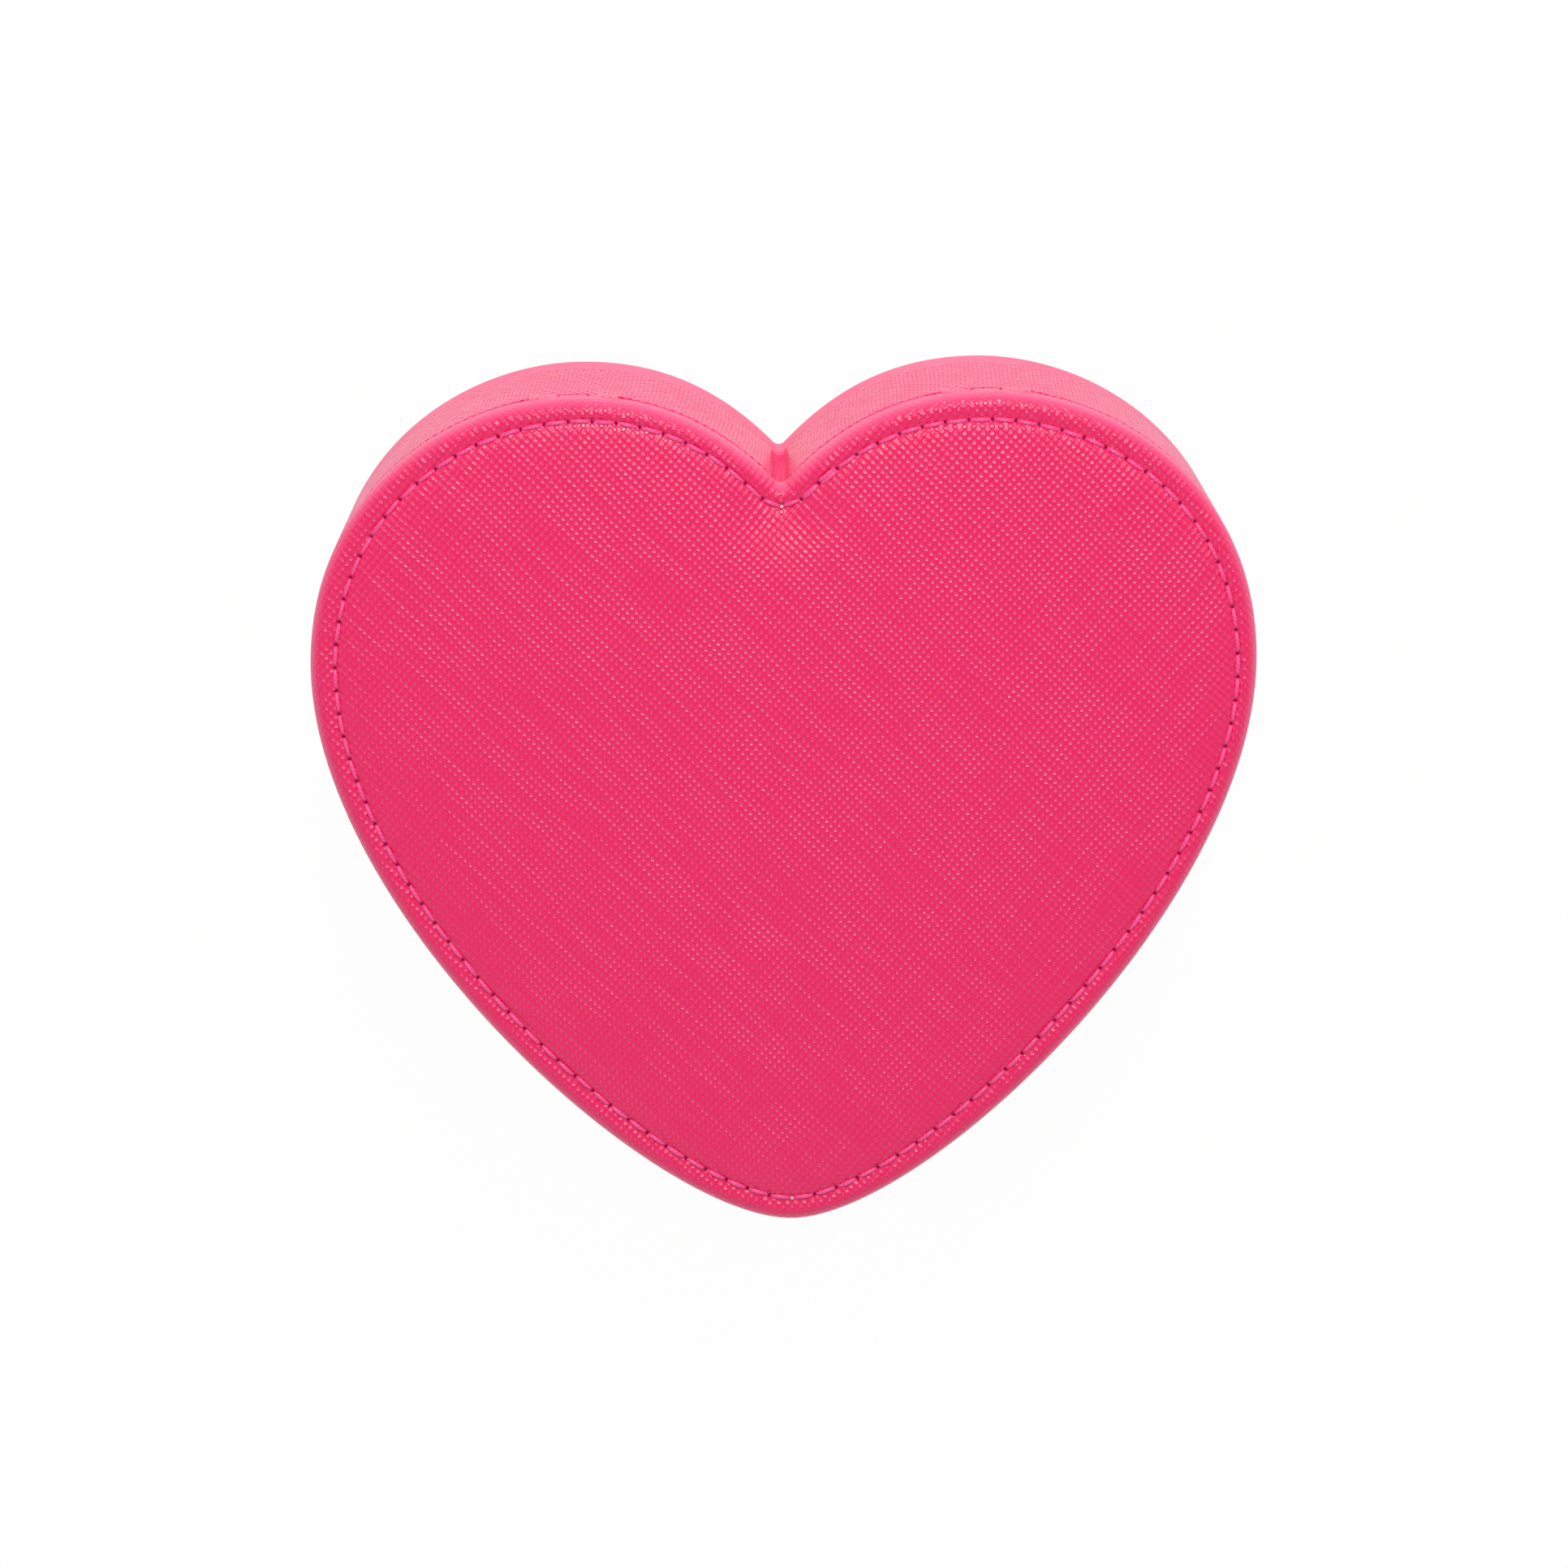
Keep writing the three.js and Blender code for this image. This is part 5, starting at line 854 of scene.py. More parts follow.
def floor_velvet():
    """Velvet floor round the movement: straight lines run from the rounded opening to the heart's outline,
    and the pile rolls over a little at the opening."""
    outer = loop(ROOM_INSET + 0.1, coarse=True)
    away = outer - (0, COVER_Y)
    half = np.array([COVER_HALF_X, COVER_HALF_Y]) + 0.4
    inner = (0, COVER_Y) + away / np.max(np.abs(away) / half, axis=1)[:, None]
    low = DECK_TOP + 0.12
    rows = [(0.0, low), (1.0, low), (1.0, FLOOR_TOP), (0.6, FLOOR_TOP), (0.3, FLOOR_TOP), (0.1, FLOOR_TOP)]
    rows += [(0.0, FLOOR_TOP - 0.3)]
    grid = levels((inner + (outer - inner) * share, z) for share, z in rows)
    return seat(surface("tray_floor_velvet", grid, VELVET, tube=True), "case", "velvet", "floor_lining")


def room_half_width(y, inset):
    """Half of the tray's width at y, between the points of the heart where its flanks move in by inset."""
    flank = loop(inset)[len(RIM) // 4 : len(RIM) // 2 + 1]
    return np.interp(y, flank[::-1, 1], flank[::-1, 0])


def upholstered_bar(name, front, back, top, radius, fullness, dip):
    """Padded bar across the tray. Its section is flat below and round on top; along its length the section
    swells by fullness in the middle of its sides, sinks by dip towards the ends (a fourth power) and rounds
    in against the wall (a quarter circle). Two slow sine waves ripple the velvet."""
    middle, half = (front + back) / 2, (back - front) / 2
    low = FLOOR_TOP + 0.12
    foot = [(0.5, 0), (0.12, 0.15), (0, 0.6)]
    side = [(0, (top - radius - low) * share) for share in (0.3, 0.6, 0.85)]
    right = np.array([(half - inset, low + rise) for inset, rise in foot + side])
    left = right[::-1] * (-1, 1)
    a = np.linspace(0, math.pi, 15)
    roll = np.column_stack([(half - radius) * np.sign(np.cos(a)).round(), np.full(len(a), top - radius)])
    roll += radius * np.column_stack([np.cos(a), np.sin(a)])
    section = np.vstack([left[-1:], [(0, low)], right, roll, left[:-1]])
    end = 1 - np.linspace(0.02, 1, 12) ** 1.6 * 0.16
    along = np.concatenate([-end[:-1], np.linspace(-end[-1], end[-1], 49), end[:-1][::-1]])[:, None]
    width = room_half_width(middle + section[:, 0], ROOM_INSET + 0.35)
    x = along * width
    end_roll = 2.4
    from_end = np.clip((1 - np.abs(along)) * width.min() / end_roll, 0, 1)
    shrink = np.sqrt(np.clip(1 - (1 - from_end) ** 2, 0.03, 1))
    height = section[:, 1] - low
    share = height / (top - low)
    bulge = fullness * np.sin(math.pi * np.clip(share / 0.7, 0, 1)) * np.sign(section[:, 0])
    ripple = 0.06 * np.sin(x / 5.1 + middle) + 0.05 * np.sin(x / 2.3 + 2 * middle)
    y = middle + (section[:, 0] + bulge) * (0.86 + 0.14 * shrink) + ripple * share
    z = low + height * (1 - (1 - shrink) * 0.16) - dip * along**4 * share
    points = np.stack([x, y, z + ripple * share * 0.5], axis=-1)
    piece = surface(name, points, VELVET, sharp=50, caps=(True, True))
    return piece


def tray_upholstery():
    """Upright divider in front of the movement, and three rolls that hold rings between them."""
    divider = upholstered_bar("movement_divider", -8.85, -5.95, 36.2, 1.42, 0.0, 0.0)
    seat(divider, "case", "velvet", "front_divider")
    for number, back in enumerate((-9.3, -19.3, -29.3), start=1):
        roll = upholstered_bar(f"ring_roll_{number}", back - 9.4, back, 31.2, 4.66, 0.16, 0.35)
        seat(roll, "case", "velvet", f"ring_cushion_{number}")


wall_velvet()
floor_velvet()
tray_upholstery()

# ---- Inside of the lid ----

LINER_INSET, LINER_LOW, LINER_HIGH = 6.2, 41.05, 43.05
MIRROR_SCALE, MIRROR_SHIFT = 0.6, np.array([0.0, -3.0])
MIRROR_TOP = 42.15


def mirror_loop(inset):
    """The mirror's outline moved in by inset: the heart at its own scale and place."""
    return loop(inset / MIRROR_SCALE, coarse=True) * MIRROR_SCALE + MIRROR_SHIFT


def liner():
    """Padded velvet panel under the lid with a pocket for the mirror. Between the pocket and the rim the pad
    swells by half a sine, and its rim rounds over."""
    opening, brink = mirror_loop(-0.12), loop(LINER_INSET + 0.5, coarse=True)
    rows = [(mirror_loop(2.0), MIRROR_TOP + 0.12), (opening, MIRROR_TOP + 0.12)]
    rows += [(opening, LINER_LOW + 0.5), (mirror_loop(-0.2), LINER_LOW + 0.15)]
    for share in (0.02, 0.06, 0.15, 0.3, 0.5, 0.7, 0.85, 0.94):
        rows.append((opening + (brink - opening) * share, LINER_LOW + 0.1 - 0.1 * math.sin(math.pi * share)))
    rim = arc(LINER_INSET + 0.5, LINER_LOW + 0.5, 0.5, -90, -180, 4)
    rim += [(LINER_INSET, 42.0), (LINER_INSET, LINER_HIGH - 0.02)]
    grid = np.concatenate([levels(rows), stack(rim, coarse=True)])
    piece = surface("lid_velvet_panel", grid, VELVET, caps=(True, True))
    return seat(piece, "lid", "velvet", "lid_lining")


def mirror():
    """Silvered plate, face down in its pocket, with a ground bevel round the face."""
    bevel, depth, face = 1.5, 0.3, LINER_LOW + 0.02
    rows = [(0.0, MIRROR_TOP), (0.0, LINER_LOW + depth + 0.1), (0.04, LINER_LOW + depth),
            (bevel, face), (6.0, face)]
    grid = levels((mirror_loop(inset), z) for inset, z in rows)
    return seat(surface("lid_mirror", grid, MIRROR, 5, caps=(True, True)), "lid", "looking_glass", "mirror")


liner()
mirror()

# ---- Hinges ----


def hinge(side, x):
    """Small butt hinge: round knuckles on one pin, and a flat leaf on either side of the parting plane, let
    in to within a tenth of a millimetre of the covering."""
    axis = np.array([x, HINGE_Y, HINGE_Z])
    half, middle, play = HINGE_LENGTH / 2, HINGE_LENGTH / 6, 0.15
    for leaf, body, knuckles, low, high in (
        ("body", "case", [(-half, -middle - play), (middle + play, half)], PARTING - 0.7, PARTING - 0.06),
        ("lid", "lid", [(play - middle, middle - play)], PARTING + 0.06, PARTING + 0.7),
    ):
        pieces = []
        for number, ends in enumerate(knuckles):
            radii = (KNUCKLE_BORE, KNUCKLE_RADIUS, KNUCKLE_RADIUS, KNUCKLE_BORE)
            section = list(zip(radii, (ends[0], ends[0], ends[1], ends[1])))
            knuckle = turned(section, axis, "X", 32, 0.18, bored=True)
            pieces.append(joined(f"hinge_{side}_{leaf}_barrel_{number}", [knuckle], ENAMEL))
        plate = rounded_rectangle(half, 1.35, 0.4, 4, 3) + axis[:2] - (0, 1.95)
        rows = [(0.08, low), (0.0, low + 0.08), (0.0, high - 0.08), (0.08, high)]
        grid = levels((shrunk(plate, inset), z) for inset, z in rows)
        pieces.append(surface(f"hinge_{side}_{leaf}_plate", grid, ENAMEL, caps=(True, True)))
        seat(pieces[0], body, "enamel", f"hinge_{side}_{leaf}_leaf")
        for piece in pieces[1:]:
            seat(piece, body, "enamel")
    rod = turned([(0.55, -6.45), (0.55, 6.45)], axis, "X", 20, 0.12)
    seat(joined(f"hinge_{side}_pin_rod", [rod], STEEL), "case", "steel", f"hinge_{side}_pin")


hinge("left", -LOBE_X)
hinge("right", LOBE_X)

# ---- Movement ----

BARREL_AXIS = (-10.7, 24.5, 0.0)
WORM_AXIS = (21.9, 35.24, 0.0)
PLUNGER_AXIS = (21.9, 37.99, 0.0)
CYLINDER_AXIS = (0.0, 24.5, 24.717)
GOVERNOR_AXIS = (0.0, 30.9, 28.92)
WELL_RADIUS = 19.0
GEAR_HEADING = math.radians(33.3)


def wire_coil(name, centre, radius, wire, turns, z0, z1):
    """Round steel wire in a helix: the height follows the turn count evenly, and the section's rings stand
    square to the path."""
    t = np.linspace(0, 1, turns * 28 + 1)
    angle = TAU * turns * t
    low, high = z0 + wire / 2, z1 - wire / 2
    outwards = np.column_stack([np.cos(angle), np.sin(angle), np.zeros_like(angle)])
    path = radius * outwards + centre
    path[:, 2] += low + (high - low) * t
    along = np.gradient(path, axis=0)
    along /= np.linalg.norm(along, axis=1)[:, None]
    a = np.linspace(0, TAU, 10, endpoint=False)[:, None]
    ring = np.cos(a) * outwards[:, None] + np.sin(a) * np.cross(along, outwards)[:, None]
    return surface(name, path[:, None] + ring * (wire / 2), STEEL, sharp=60, caps=(True, True))


def tooth_radius(angle, teeth, root, tip, flank, top=0.25):
    """Radius of a gear's outline: it climbs from root to tip and back once a tooth, by a smooth step over a
    share flank of the pitch, whose middle lies a share top of the pitch to either side of the tooth's own
    middle."""
    phase = np.abs((angle * teeth / TAU + 0.5) % 1 - 0.5)
    return root + (tip - root) * smooth((top + flank / 2 - phase) / flank)


def gear(name, teeth, root, tip, bore, start, end, axis, material, heading, flank):
    """Bored gear along x, twelve steps to a tooth, with its outer edges eased."""
    count, ease = teeth * 12, 0.08
    radius = tooth_radius(np.linspace(0, TAU, count, endpoint=False), teeth, root, tip, flank)
    rows = [(bore, start), (bore + 0.05, start), (radius - ease, start), (radius, start + ease)]
    rows += [(radius, end - ease), (radius - ease, end), (bore + 0.05, end), (bore, end)]
    return surface(name, turned_grid(rows, axis, "X", count, heading), material, 35, tube=True)


def barrel():
    """Great wheel and spring drum in one turning, with the crown of teeth standing on the wheel's rim."""
    low = DECK_TOP + 2.6
    wheel, drum = low + 1.6, low + 11.8
    corners = [(1.75, low), (13.8, low), (13.8, wheel), (11.9, wheel),
               (11.6, wheel - 0.25), (9.9, wheel - 0.25)]
    corners += [(9.7, wheel + 0.1), (9.7, drum), (9.2, drum), (9.2, drum - 0.9), (8.9, drum - 0.9)]
    corners += [(8.9, low + 0.8), (1.75, low + 0.8)]
    shells = [turned(corners, BARREL_AXIS, sides=120, ease=0.12, bored=True)]
    # A tooth tapers upwards, and is a little smaller at its two end faces.
    half = np.array([(0.62, -0.2), (0.46, 0.9), (0.3, 1.6), (0.18, 1.9)])
    section = np.vstack([half[:1] * (-1, 1), half, half[:0:-1] * (-1, 1)])
    slices = ((-0.78, 0.86), (-0.7, 1.0), (0.7, 1.0), (0.78, 0.86))
    tooth = np.array([np.column_stack([np.full(len(section), along), section * size])
                      for along, size in slices])
    teeth = 30
    for angle in (np.arange(teeth) + 0.5) * TAU / teeth:
        c, s = math.cos(angle), math.sin(angle)
        turn = np.array([(c, s, 0), (-s, c, 0), (0, 0, 1)])
        points = tooth @ turn + 13.0 * turn[0] + BARREL_AXIS + (0, 0, wheel)
        shells.append(shell(points, caps=(True, True)))
    seat(joined("barrel_and_crown_wheel", shells, BRASS, 35), "barrel", "brass", "spring_barrel")
    face, dish = drum - 0.05, drum - 0.3
    lid = [(1.75, drum - 0.86), (9.08, drum - 0.86), (9.08, face), (6.9, face), (6.7, dish), (3.1, dish)]
    lid = turned(lid + [(2.9, face), (1.75, face)], BARREL_AXIS, sides=96, ease=0.1, bored=True)
    seat(joined("barrel_lid_disc", [lid], BRASS), "barrel", "brass", "barrel_cap")


def cylinder():
    """Tune cylinder: a thin brass tube with recessed ends, and rows of short steel pins round it. Each pin is
    a tapered block that stands out from the drum at its step of the turn and under its tooth of the comb."""
    start, length, radius = 3.5, 14.2, 6.2
    end = start + length
    corners = [(1.1, start + 0.6), (5.2, start + 0.6), (5.2, start), (radius, start), (radius, end)]
    corners += [(5.2, end), (5.2, end - 0.6), (1.1, end - 0.6)]
    steps, tones, notes = 32, 18, []
    for step in range(steps):
        phrase = step % 8
        melody, bass = (phrase * 5 + (step // 8) * 3) % tones, (phrase * 7 + 11) % tones
        notes += [(step, melody)] + ([(step, bass)] if step % 4 == 0 and bass != melody else [])
    step, note = np.array(notes).T
    angle = (step + 0.5) * TAU / steps
    none = np.zeros(len(angle))
    up = np.column_stack([none, -np.sin(angle), np.cos(angle)])
    side = np.column_stack([none, np.cos(angle), np.sin(angle)])
    turns = np.stack([np.tile((1.0, 0.0, 0.0), (len(angle), 1)), side, up], axis=-1)
    tone_pitch, root_depth, half_width, height = 0.75, 0.3, 0.14, 0.78
    along = start + 0.35 + (note + 0.5) * tone_pitch
    places = up * (radius - root_depth) + np.column_stack([along, none, none]) + CYLINDER_AXIS
    square = np.array([(-1, -1), (1, -1), (1, 1), (-1, 1)])
    block = levels([(square * half_width, 0), (square * half_width * 0.7, height)]).reshape(-1, 3)
    quads = np.array([(3, 2, 1, 0), (4, 5, 6, 7), (0, 1, 5, 4), (1, 2, 6, 5), (2, 3, 7, 6), (3, 0, 4, 7)])
    pins = np.einsum("nij,kj->nki", turns, block) + places[:, None]
    faces = quads + 8 * np.arange(len(pins))[:, None, None]
    drum = turned(corners, CYLINDER_AXIS, "X", 128, 0.12, bored=True)
    shells = [drum, (pins.reshape(-1, 3), [faces.reshape(-1, 4)], {})]
    seat(joined("tune_cylinder", shells, BRASS, 35), "cylinder", "brass", "cylinder")
    shaft = turned([(1.0, 0.1), (1.0, 20.2)], CYLINDER_AXIS, "X", 32)
    seat(joined("cylinder_arbor", [shaft], STEEL), "cylinder", "steel", "cylinder_shaft")
    pinion = gear("crown_pinion", 10, 3.3, 5.15, 1.1, 1.5, 3.1, CYLINDER_AXIS, BRASS, -math.pi / 2, 0.22)
    seat(pinion, "cylinder", "brass", "drive_pinion")
    spur = gear("cylinder_spur_gear", 32, 5.68, 6.48, 1.1, 17.8, 18.9, CYLINDER_AXIS,
                BRASS, GEAR_HEADING, 0.16)
    seat(spur, "cylinder", "brass", "cylinder_gear")


def governor():
    """Second arbor: a cut pinion on the gear's side and the worm wheel between the plates."""
    leaves, count = 8, 96
    radius = tooth_radius(np.linspace(0, TAU, count, endpoint=False), leaves, 1.1, 1.88, 0.2, 0.24)
    rows = [(radius - 0.06, 17.8), (radius, 17.86), (radius, 18.84), (radius - 0.06, 18.9)]
    pinion = turned_grid(rows, GOVERNOR_AXIS, "X", count, GEAR_HEADING + math.pi + math.pi / leaves)
    shells = [turned([(0.6, 17.6), (0.6, 24.5)], GOVERNOR_AXIS, "X", 24, 0.1),
              shell(pinion, caps=(True, True))]
    seat(joined("governor_pinion_arbor", shells, STEEL, 35), "governor", "steel", "governor_arbor")
    wheel = gear("moulded_worm_wheel", 20, 2.86, 3.54, 0.65, 21.1, 22.7, GOVERNOR_AXIS,
                 NYLON, math.pi / 20, 0.2)
    seat(wheel, "governor", "nylon", "worm_wheel")


def worm_and_fan():
    """Steel worm: its radius rises to a rounded thread wherever the height, less the turn's share of the
    lead, falls on a whole lead. Below it the air brake: two thin blades on a hub."""
    module, half = 0.324, 2.2
    lead = math.pi * module
    up = np.linspace(-half, half, 87)[:, None]
    angle = np.linspace(0, TAU, 24, endpoint=False)
    near = np.abs((up / lead - (angle + math.pi / 2) / TAU + 0.5) % 1 - 0.5) * lead
    fade = np.clip((half - np.abs(up)) / 0.3, 0, 1)
    radius = 0.72 + 0.6 * smooth((0.24 - near) / 0.16) * fade
    thread = turned_grid(list(zip(radius, up + GOVERNOR_AXIS[2])), WORM_AXIS, sides=24)
    shells = [shell(thread, caps=(True, True))]
    shells.append(turned([(0.5, DECK_TOP + 2.6), (0.5, DECK_TOP + 18.68)], WORM_AXIS, sides=20, ease=0.12))
    seat(joined("governor_worm", shells, STEEL, 50), "fan", "steel", "worm_shaft")
    low, high = DECK_TOP + 3.6, DECK_TOP + 9.2
    shells = [turned([(0.55, low), (1.1, low), (1.1, high), (0.55, high)], WORM_AXIS, sides=28, bored=True)]
    # Along a blade: the reach from the hub, how far its two edges draw in, and half its thickness.
    blade = ((1.0, 0.2, 0.3), (1.3, 0.2, 0.25), (2.6, 0.25, 0.22), (3.2, 0.6, 0.2), (3.38, 1.1, 0.12))
    ring = [[(x, -t, low + e), (x, t, low + e), (x, t, high - e), (x, -t, high - e)] for x, e, t in blade]
    shells += [shell(np.array(ring) * (side, 1, 1) + WORM_AXIS, caps=(True, True)) for side in (-1, 1)]
    seat(joined("air_brake_fan", shells, NYLON, 40), "fan", "nylon", "governor_fan")


def winding():
    """Winding arbor with its wider core in the drum, and the butterfly key on its lower end: a sleeve with a
    wing on either side, each a rounded plate round its own eye."""
    z = DECK_TOP
    stem = [(1.6, z - 8.4), (1.6, z + 3.7), (2.4, z + 3.7), (2.4, z + 13.2), (1.6, z + 13.2), (1.6, z + 16.8)]
    stem = turned(stem + [(1.12, z + 16.8), (1.12, z + 18.4)], BARREL_AXIS, sides=40)
    seat(joined("winding_stem", [stem], STEEL), "winding", "steel", "winding_arbor")
    middle, reach, radius = 4.85, 6.25, 3.25
    sleeve = [(2.45, middle - 1.6), (2.7, middle - 1.3), (2.7, 10.3), (2.45, 10.68)]
    shells = [turned(sleeve, BARREL_AXIS, sides=48, ease=0.2)]
    # A wing: half a circle, and below and above it a waist that falls from shoulder to sleeve by a power.
    a = np.linspace(-math.pi / 2, math.pi / 2, 29)
    left = 1 - np.linspace(0, 1, 13)[1:, None]
    waist = np.column_stack([reach * left, radius * (0.42 + 0.58 * left**1.6)])
    bow = np.column_stack([reach + radius * np.cos(a), radius * np.sin(a)])
    outline = np.vstack([bow, waist, waist[::-1] * (1, -1)])
    eye = hole_loop(outline, (reach, 0), 1.6)
    face = [(0, -0.62), (0.06, -0.8), (0.5, -0.8), (0.94, -0.8), (1, -0.62)]
    face += [(share, -depth) for share, depth in face[::-1]]
    for side in (-1, 1):
        grid = levels((eye + (outline - eye) * share, depth) for share, depth in face)
        shells.append(shell(grid[..., (0, 2, 1)] * (side, 1, 1) + BARREL_AXIS + (0, 0, middle), tube=True))
    seat(joined("butterfly_key", shells, NICKEL, 30), "winding", "nickel", "winding_key")
    bush = [(1.75, 11.1), (5.2, 11.1), (5.2, 12.08), (3.6, 12.08), (3.6, 15.08), (1.75, 15.08)]
    bush = turned(bush, BARREL_AXIS, sides=56, bored=True)
    seat(joined("arbor_flanged_bush", [bush], NYLON), "case", "nylon", "arbor_bush")
    spring = wire_coil("one_way_clutch_spring", BARREL_AXIS, 2.2, 0.6, 3, z + 14.7, z + 16.9)
    seat(spring, "case", "steel", "one_way_spring")


def stop_plunger():
    """Button that the lid holds down: a low mushroom head on a slim rod, its spring, and a felt pad below."""
    z = DECK_TOP
    head = [(0.7, z + 10.4), (0.7, z + 24.45), (2.2, z + 24.45),
            (2.2, z + 25.3), (1.5, z + 25.62), (0.6, z + 25.65)]
    head = turned(head, PLUNGER_AXIS, sides=40, ease=0.2)
    seat(joined("lid_button", [head], NICKEL), "plunger", "steel", "stop_plunger")
    spring = wire_coil("button_return_spring", PLUNGER_AXIS, 1.5, 0.4, 4, z + 21.75, z + 24.4)
    seat(spring, "case", "steel", "plunger_spring")
    pad = turned([(1.0, z + 9.5), (1.0, z + 10.4)], PLUNGER_AXIS, sides=28, ease=0.2)
    seat(joined("felt_brake_pad", [pad], FELT), "plunger", "felt", "brake_pad")


def clear_cover():
    """Moulded clear box over the movement, open below: outer and inner walls of rounded rectangles with soft
    upper edges, and a small round hole for the button's rod through its top."""
    foot, top, wall = DECK_TOP + 0.02, DECK_TOP + 21.7, 1.5
    ceiling = top - wall
    outline = rounded_rectangle(COVER_HALF_X, COVER_HALF_Y, 3.0) + (0, COVER_Y)
    outside = [(wall, foot), (0.0, foot), (0.0, top - 1.0)] + arc(1.0, top - 1.0, 1.0, 180, 90, 5)[1:]
    brink, inside = shrunk(outline, 1.0), shrunk(outline, wall + 0.6)
    hole = hole_loop(brink, PLUNGER_AXIS[:2], 1.0)
    plans = [(shrunk(outline, inset), z) for inset, z in outside]
    plans += [(hole + (brink - hole) * 0.5, top), (hole + (brink - hole) * 0.06, top), (hole, top - 0.1)]
    plans += [(hole, ceiling + 0.1), (hole + (inside - hole) * 0.06, ceiling), (inside, ceiling)]
    plans += [(shrunk(outline, wall + 0.2), ceiling - 0.15), (shrunk(outline, wall), ceiling - 0.6)]
    piece = surface("clear_dust_cover", levels(plans), ACRYLIC, 35, tube=True)
    seat(piece, "case", "clear_cover", "movement_cover")


def bridge_screw(number, x, y):
    """Slotted cheese-head screw: the head is two D-shaped halves over a round floor, a slot's width apart,
    each shrinking a little towards its top."""
    z, radius, height, half_slot, turn = DECK_TOP + 18.4, 1.6, 1.0, 0.18, 0.5 + number
    floor = z + 0.55 * height
    shank = [(0.9, z - 2.2), (0.9, z), (radius, z), (radius, floor), (0.2, floor)]
    shells = [turned(shank, (x, y, 0), sides=40, ease=0.1)]
    reach = math.acos(half_slot / radius)
    a = np.linspace(-reach, reach, 25)
    bow = np.column_stack([np.cos(a), np.sin(a)]) * radius
    string = np.column_stack([np.full(5, half_slot), np.linspace(bow[-1, 1], bow[0, 1], 7)[1:-1]])
    plan = np.vstack([bow, string])
    for heading in (turn, turn + math.pi):
        c, s = math.cos(heading), math.sin(heading)
        rows = []
        for shrink, level in ((0.0, 0.5), (0.0, 0.88), (0.04, 0.97), (0.12, 1.0)):
            flat = plan + (half_slot + 0.6 - plan) * (1, 0) * shrink * 0.2 - plan * shrink * 0.8
            rows.append((flat @ np.array([(c, s), (-s, c)]) + (x, y), z + height * level))
        shells.append(shell(levels(rows), caps=(True, True)))
    piece = joined(f"bridge_screw_head_{number}", shells, POLISHED, 35)
    seat(piece, "case", "steel", f"bridge_screw_{number}")


def underside():
    """Suede sheet under the case with the round mouth of the key well, and the well's own wall, which laps
    over the edge of the board."""
    outer = loop(1.1)
    mouth = hole_loop(outer, BARREL_AXIS[:2], WELL_RADIUS)
    rows = [(0.0, 0.55), (0.0, 0.15), (0.04, 0.0), (0.3, 0.0), (0.65, 0.0)]
    rows += [(0.97, 0.0), (1.0, 0.15), (1.0, 0.6), (0.5, 0.6), (0.0, 0.6)]
    grid = levels((mouth + (outer - mouth) * share, z) for share, z in rows)
    seat(surface("underside_suede", grid, SUEDE, tube=True), "case", "suede", "underside_lining")
    inner, lap = WELL_RADIUS - 0.35, WELL_RADIUS - 0.02
    section = [(inner, 0.62), (inner, 12.0), (20.2, 12.0), (20.2, 3.25), (lap, 3.25), (lap, 0.62)]
    well = turned(section, BARREL_AXIS, sides=96, ease=0.12, bored=True)
    seat(joined("key_well_wall", [well], SUEDE), "case", "suede", "key_well")


underside()
barrel()
cylinder()
governor()
worm_and_fan()
winding()
stop_plunger()
clear_cover()
bridge_screw(1, -22.2, 36.2)
bridge_screw(2, -3.69, 8.3)

# ---- Floor, backdrop and light ----

SKY_LEVEL, CEILING_LEVEL, FLOOR_GLOW = 0.59, 0.25, 0.97
FLOOR_HALF, FLOOR_DROP = 3000.0, 0.05
WHITE = (1, 1, 1, 1)
# Softboxes: where each hangs, its two sides and its watts. They face a point 30 mm above the floor.
SOFTBOXES = (("softbox_behind", (60, 610, 730), (230, 180), 5.5),
             ("softbox_front", (-200, -500, 700), (500, 500), 0.4))


def white_room():
    """Even white room. Seen directly or through the clear cover it is white. A gloss shows its white walls
    and, above 30 degrees, its darker ceiling. The light that it sheds is weaker than either."""
    scene = bpy.context.scene
    scene.view_settings.view_transform = "Standard"
    world = bpy.data.worlds.new("studio")
    scene.world = world
    world.use_nodes = True
    tree = world.node_tree
    tree.nodes.clear()
    rays = add(tree, "LightPath").outputs
    seen = add(tree, "Math", (rays["Is Camera Ray"], rays["Is Transmission Ray"]), operation="MAXIMUM")
    upward = add(tree, "SeparateXYZ", (add(tree, "TexCoord").outputs["Generated"],)).outputs[2]
    room = add(tree, "MapRange", (upward, 0.5, 0.85, 1.0, CEILING_LEVEL), interpolation_type=SMOOTH)
    shed = add(tree, "Mix", {"Factor": rays["Is Glossy Ray"], "A": SKY_LEVEL, "B": room})
    strength = add(tree, "Math", (seen, shed), operation="MAXIMUM")
    add(tree, "OutputWorld", (add(tree, "Background", (WHITE, strength)),))


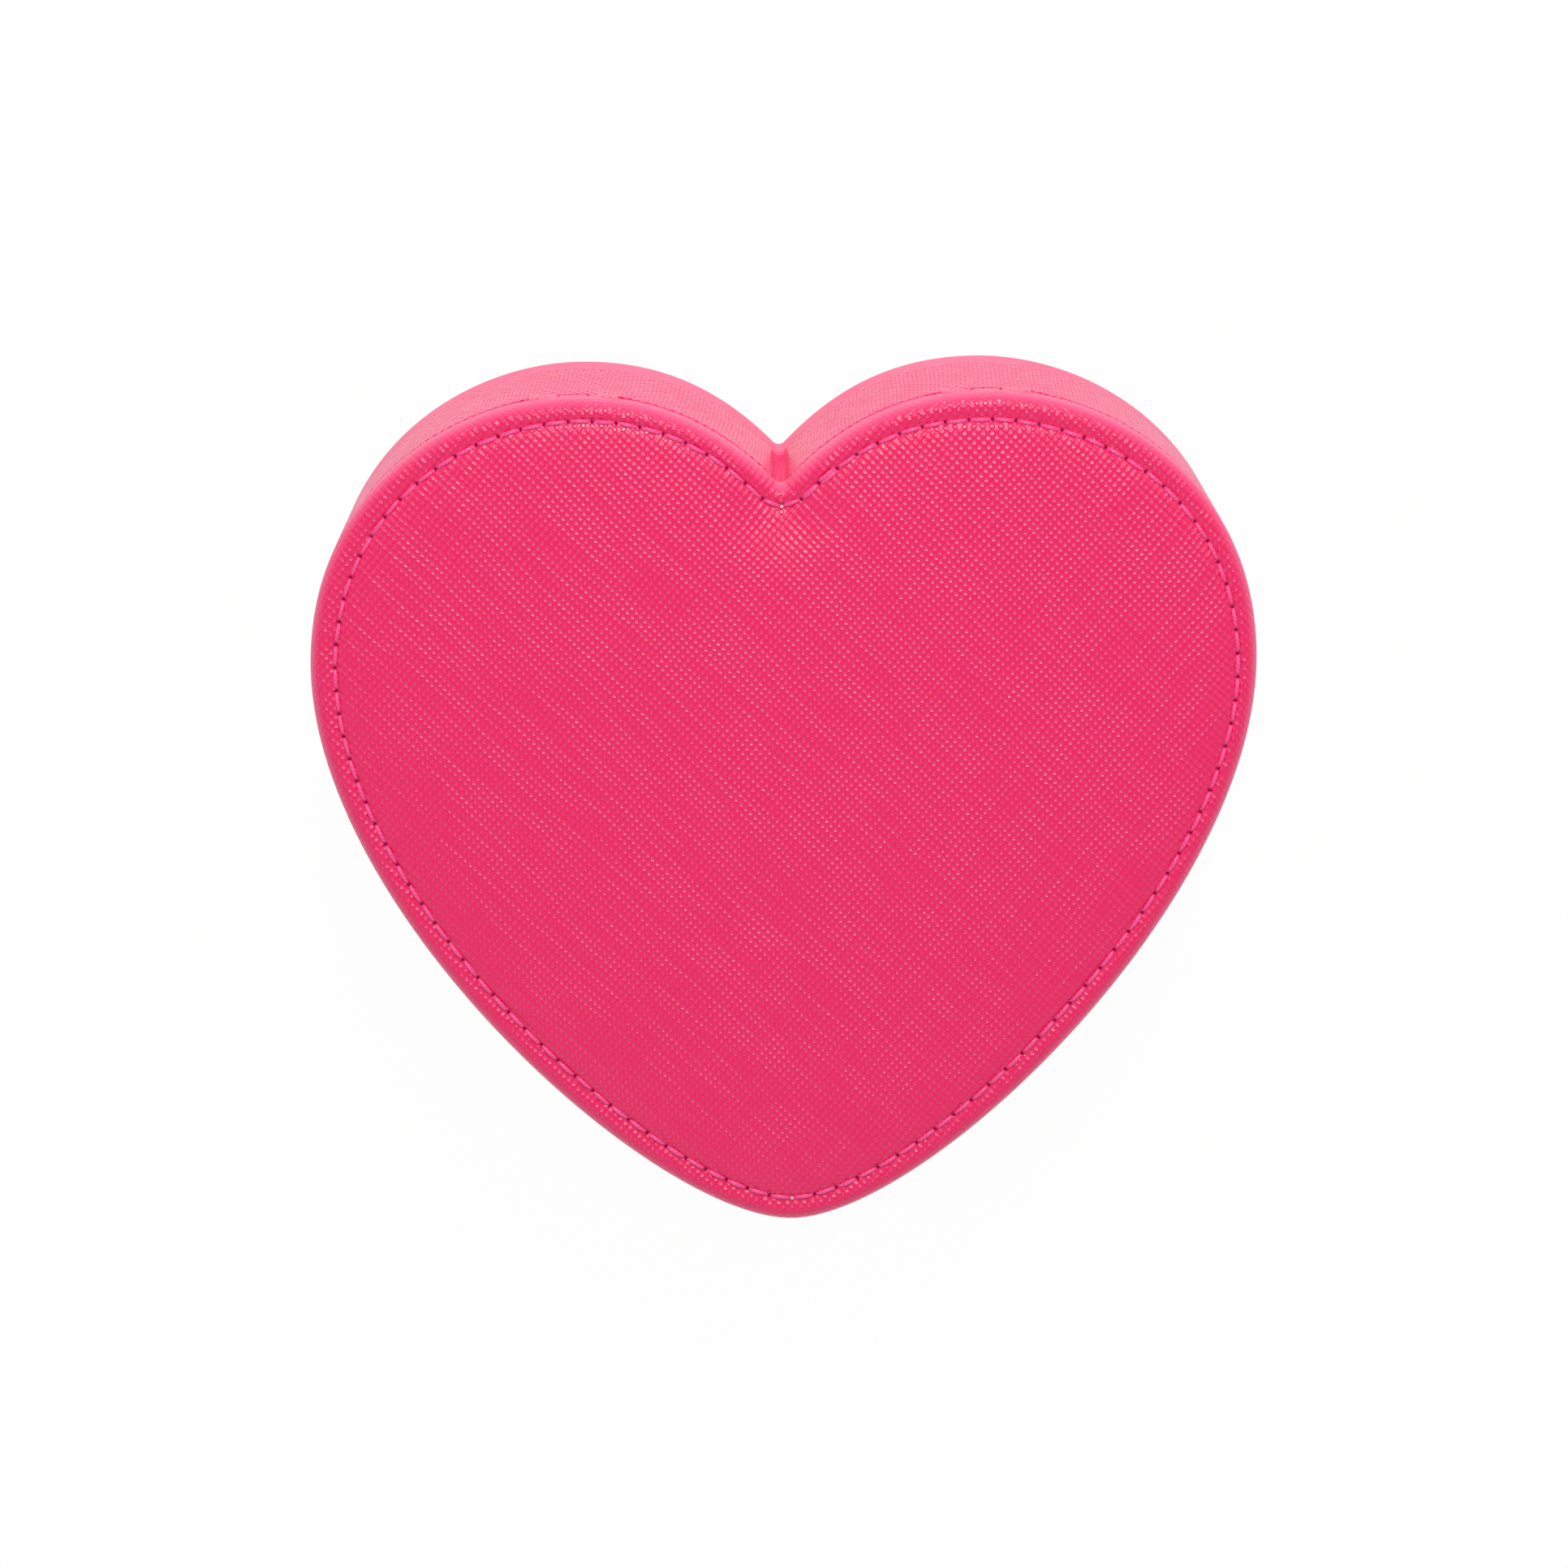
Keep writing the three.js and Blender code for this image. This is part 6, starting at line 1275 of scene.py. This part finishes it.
def pale_floor():
    """Matt pale floor that takes the case's shadow and nearly glows where it is seen."""
    material, tree = new_material("pale_studio_floor")
    rays = add(tree, "LightPath").outputs
    seen = add(tree, "Math", (rays["Is Camera Ray"], rays["Is Transmission Ray"]), operation="MAXIMUM")
    seen = add(tree, "Math", (seen, rays["Is Glossy Ray"]), operation="MAXIMUM")
    lit = add(tree, "BsdfDiffuse", {"Color": colour("F4F4F4")})
    glow = add(tree, "Emission", {"Color": WHITE, "Strength": 1.0})
    share = add(tree, "Math", (seen, FLOOR_GLOW), operation="MULTIPLY")
    add(tree, "OutputMaterial", (add(tree, "MixShader", (share, lit, glow)),))
    corners = np.array([(x, y, -FLOOR_DROP) for x, y in ((-1, -1), (1, -1), (1, 1), (-1, 1))])
    corners[:, :2] *= FLOOR_HALF
    floor = joined("studio_floor", [(corners, [np.array([(0, 1, 2, 3)])], {})], material)


def softbox(name, place, size, power):
    """Rectangular area lamp, level and turned to the case."""
    lamp = bpy.data.lights.new(name, "AREA")
    lamp.shape = "RECTANGLE"
    lamp.size, lamp.size_y = size[0] * MM, size[1] * MM
    lamp.energy = power
    place = np.array(place, float)
    back = place - (0, 0, 30)
    posed(name, lamp, place, back / np.linalg.norm(back), (0, 0, 1))


white_room()
pale_floor()
for box in SOFTBOXES:
    softbox(*box)

# ---- Plates, boards and hidden pieces: their solids are right as they are and get only their material ----

PLATE_FINISHES = (
    (BOARD, "board", ("bottom_panel", "movement_deck", "wall_board", "lid_board")),
    (ZINC, "zinc_plate", ("bedplate",)),
    (BRASS, "brass", ("barrel_bridge", "cylinder_bridge", "governor_frame")),
    (STEEL, "steel", ("comb", "mainspring", "wall_magnet", "lid_magnet")),
    (POLISHED, "steel", ("comb_screw_1", "comb_screw_2", "governor_screw")),
    (POLISHED, "steel", ("deck_screw_1", "deck_screw_2", "deck_screw_3")),
)


def finish_plates():
    """Gives each solid that is shown as it is its material."""
    for material, slot, names in PLATE_FINISHES:
        for name in names:
            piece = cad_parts[name]
            piece.data.materials.clear()
            piece.data.materials.append(material)


finish_plates()
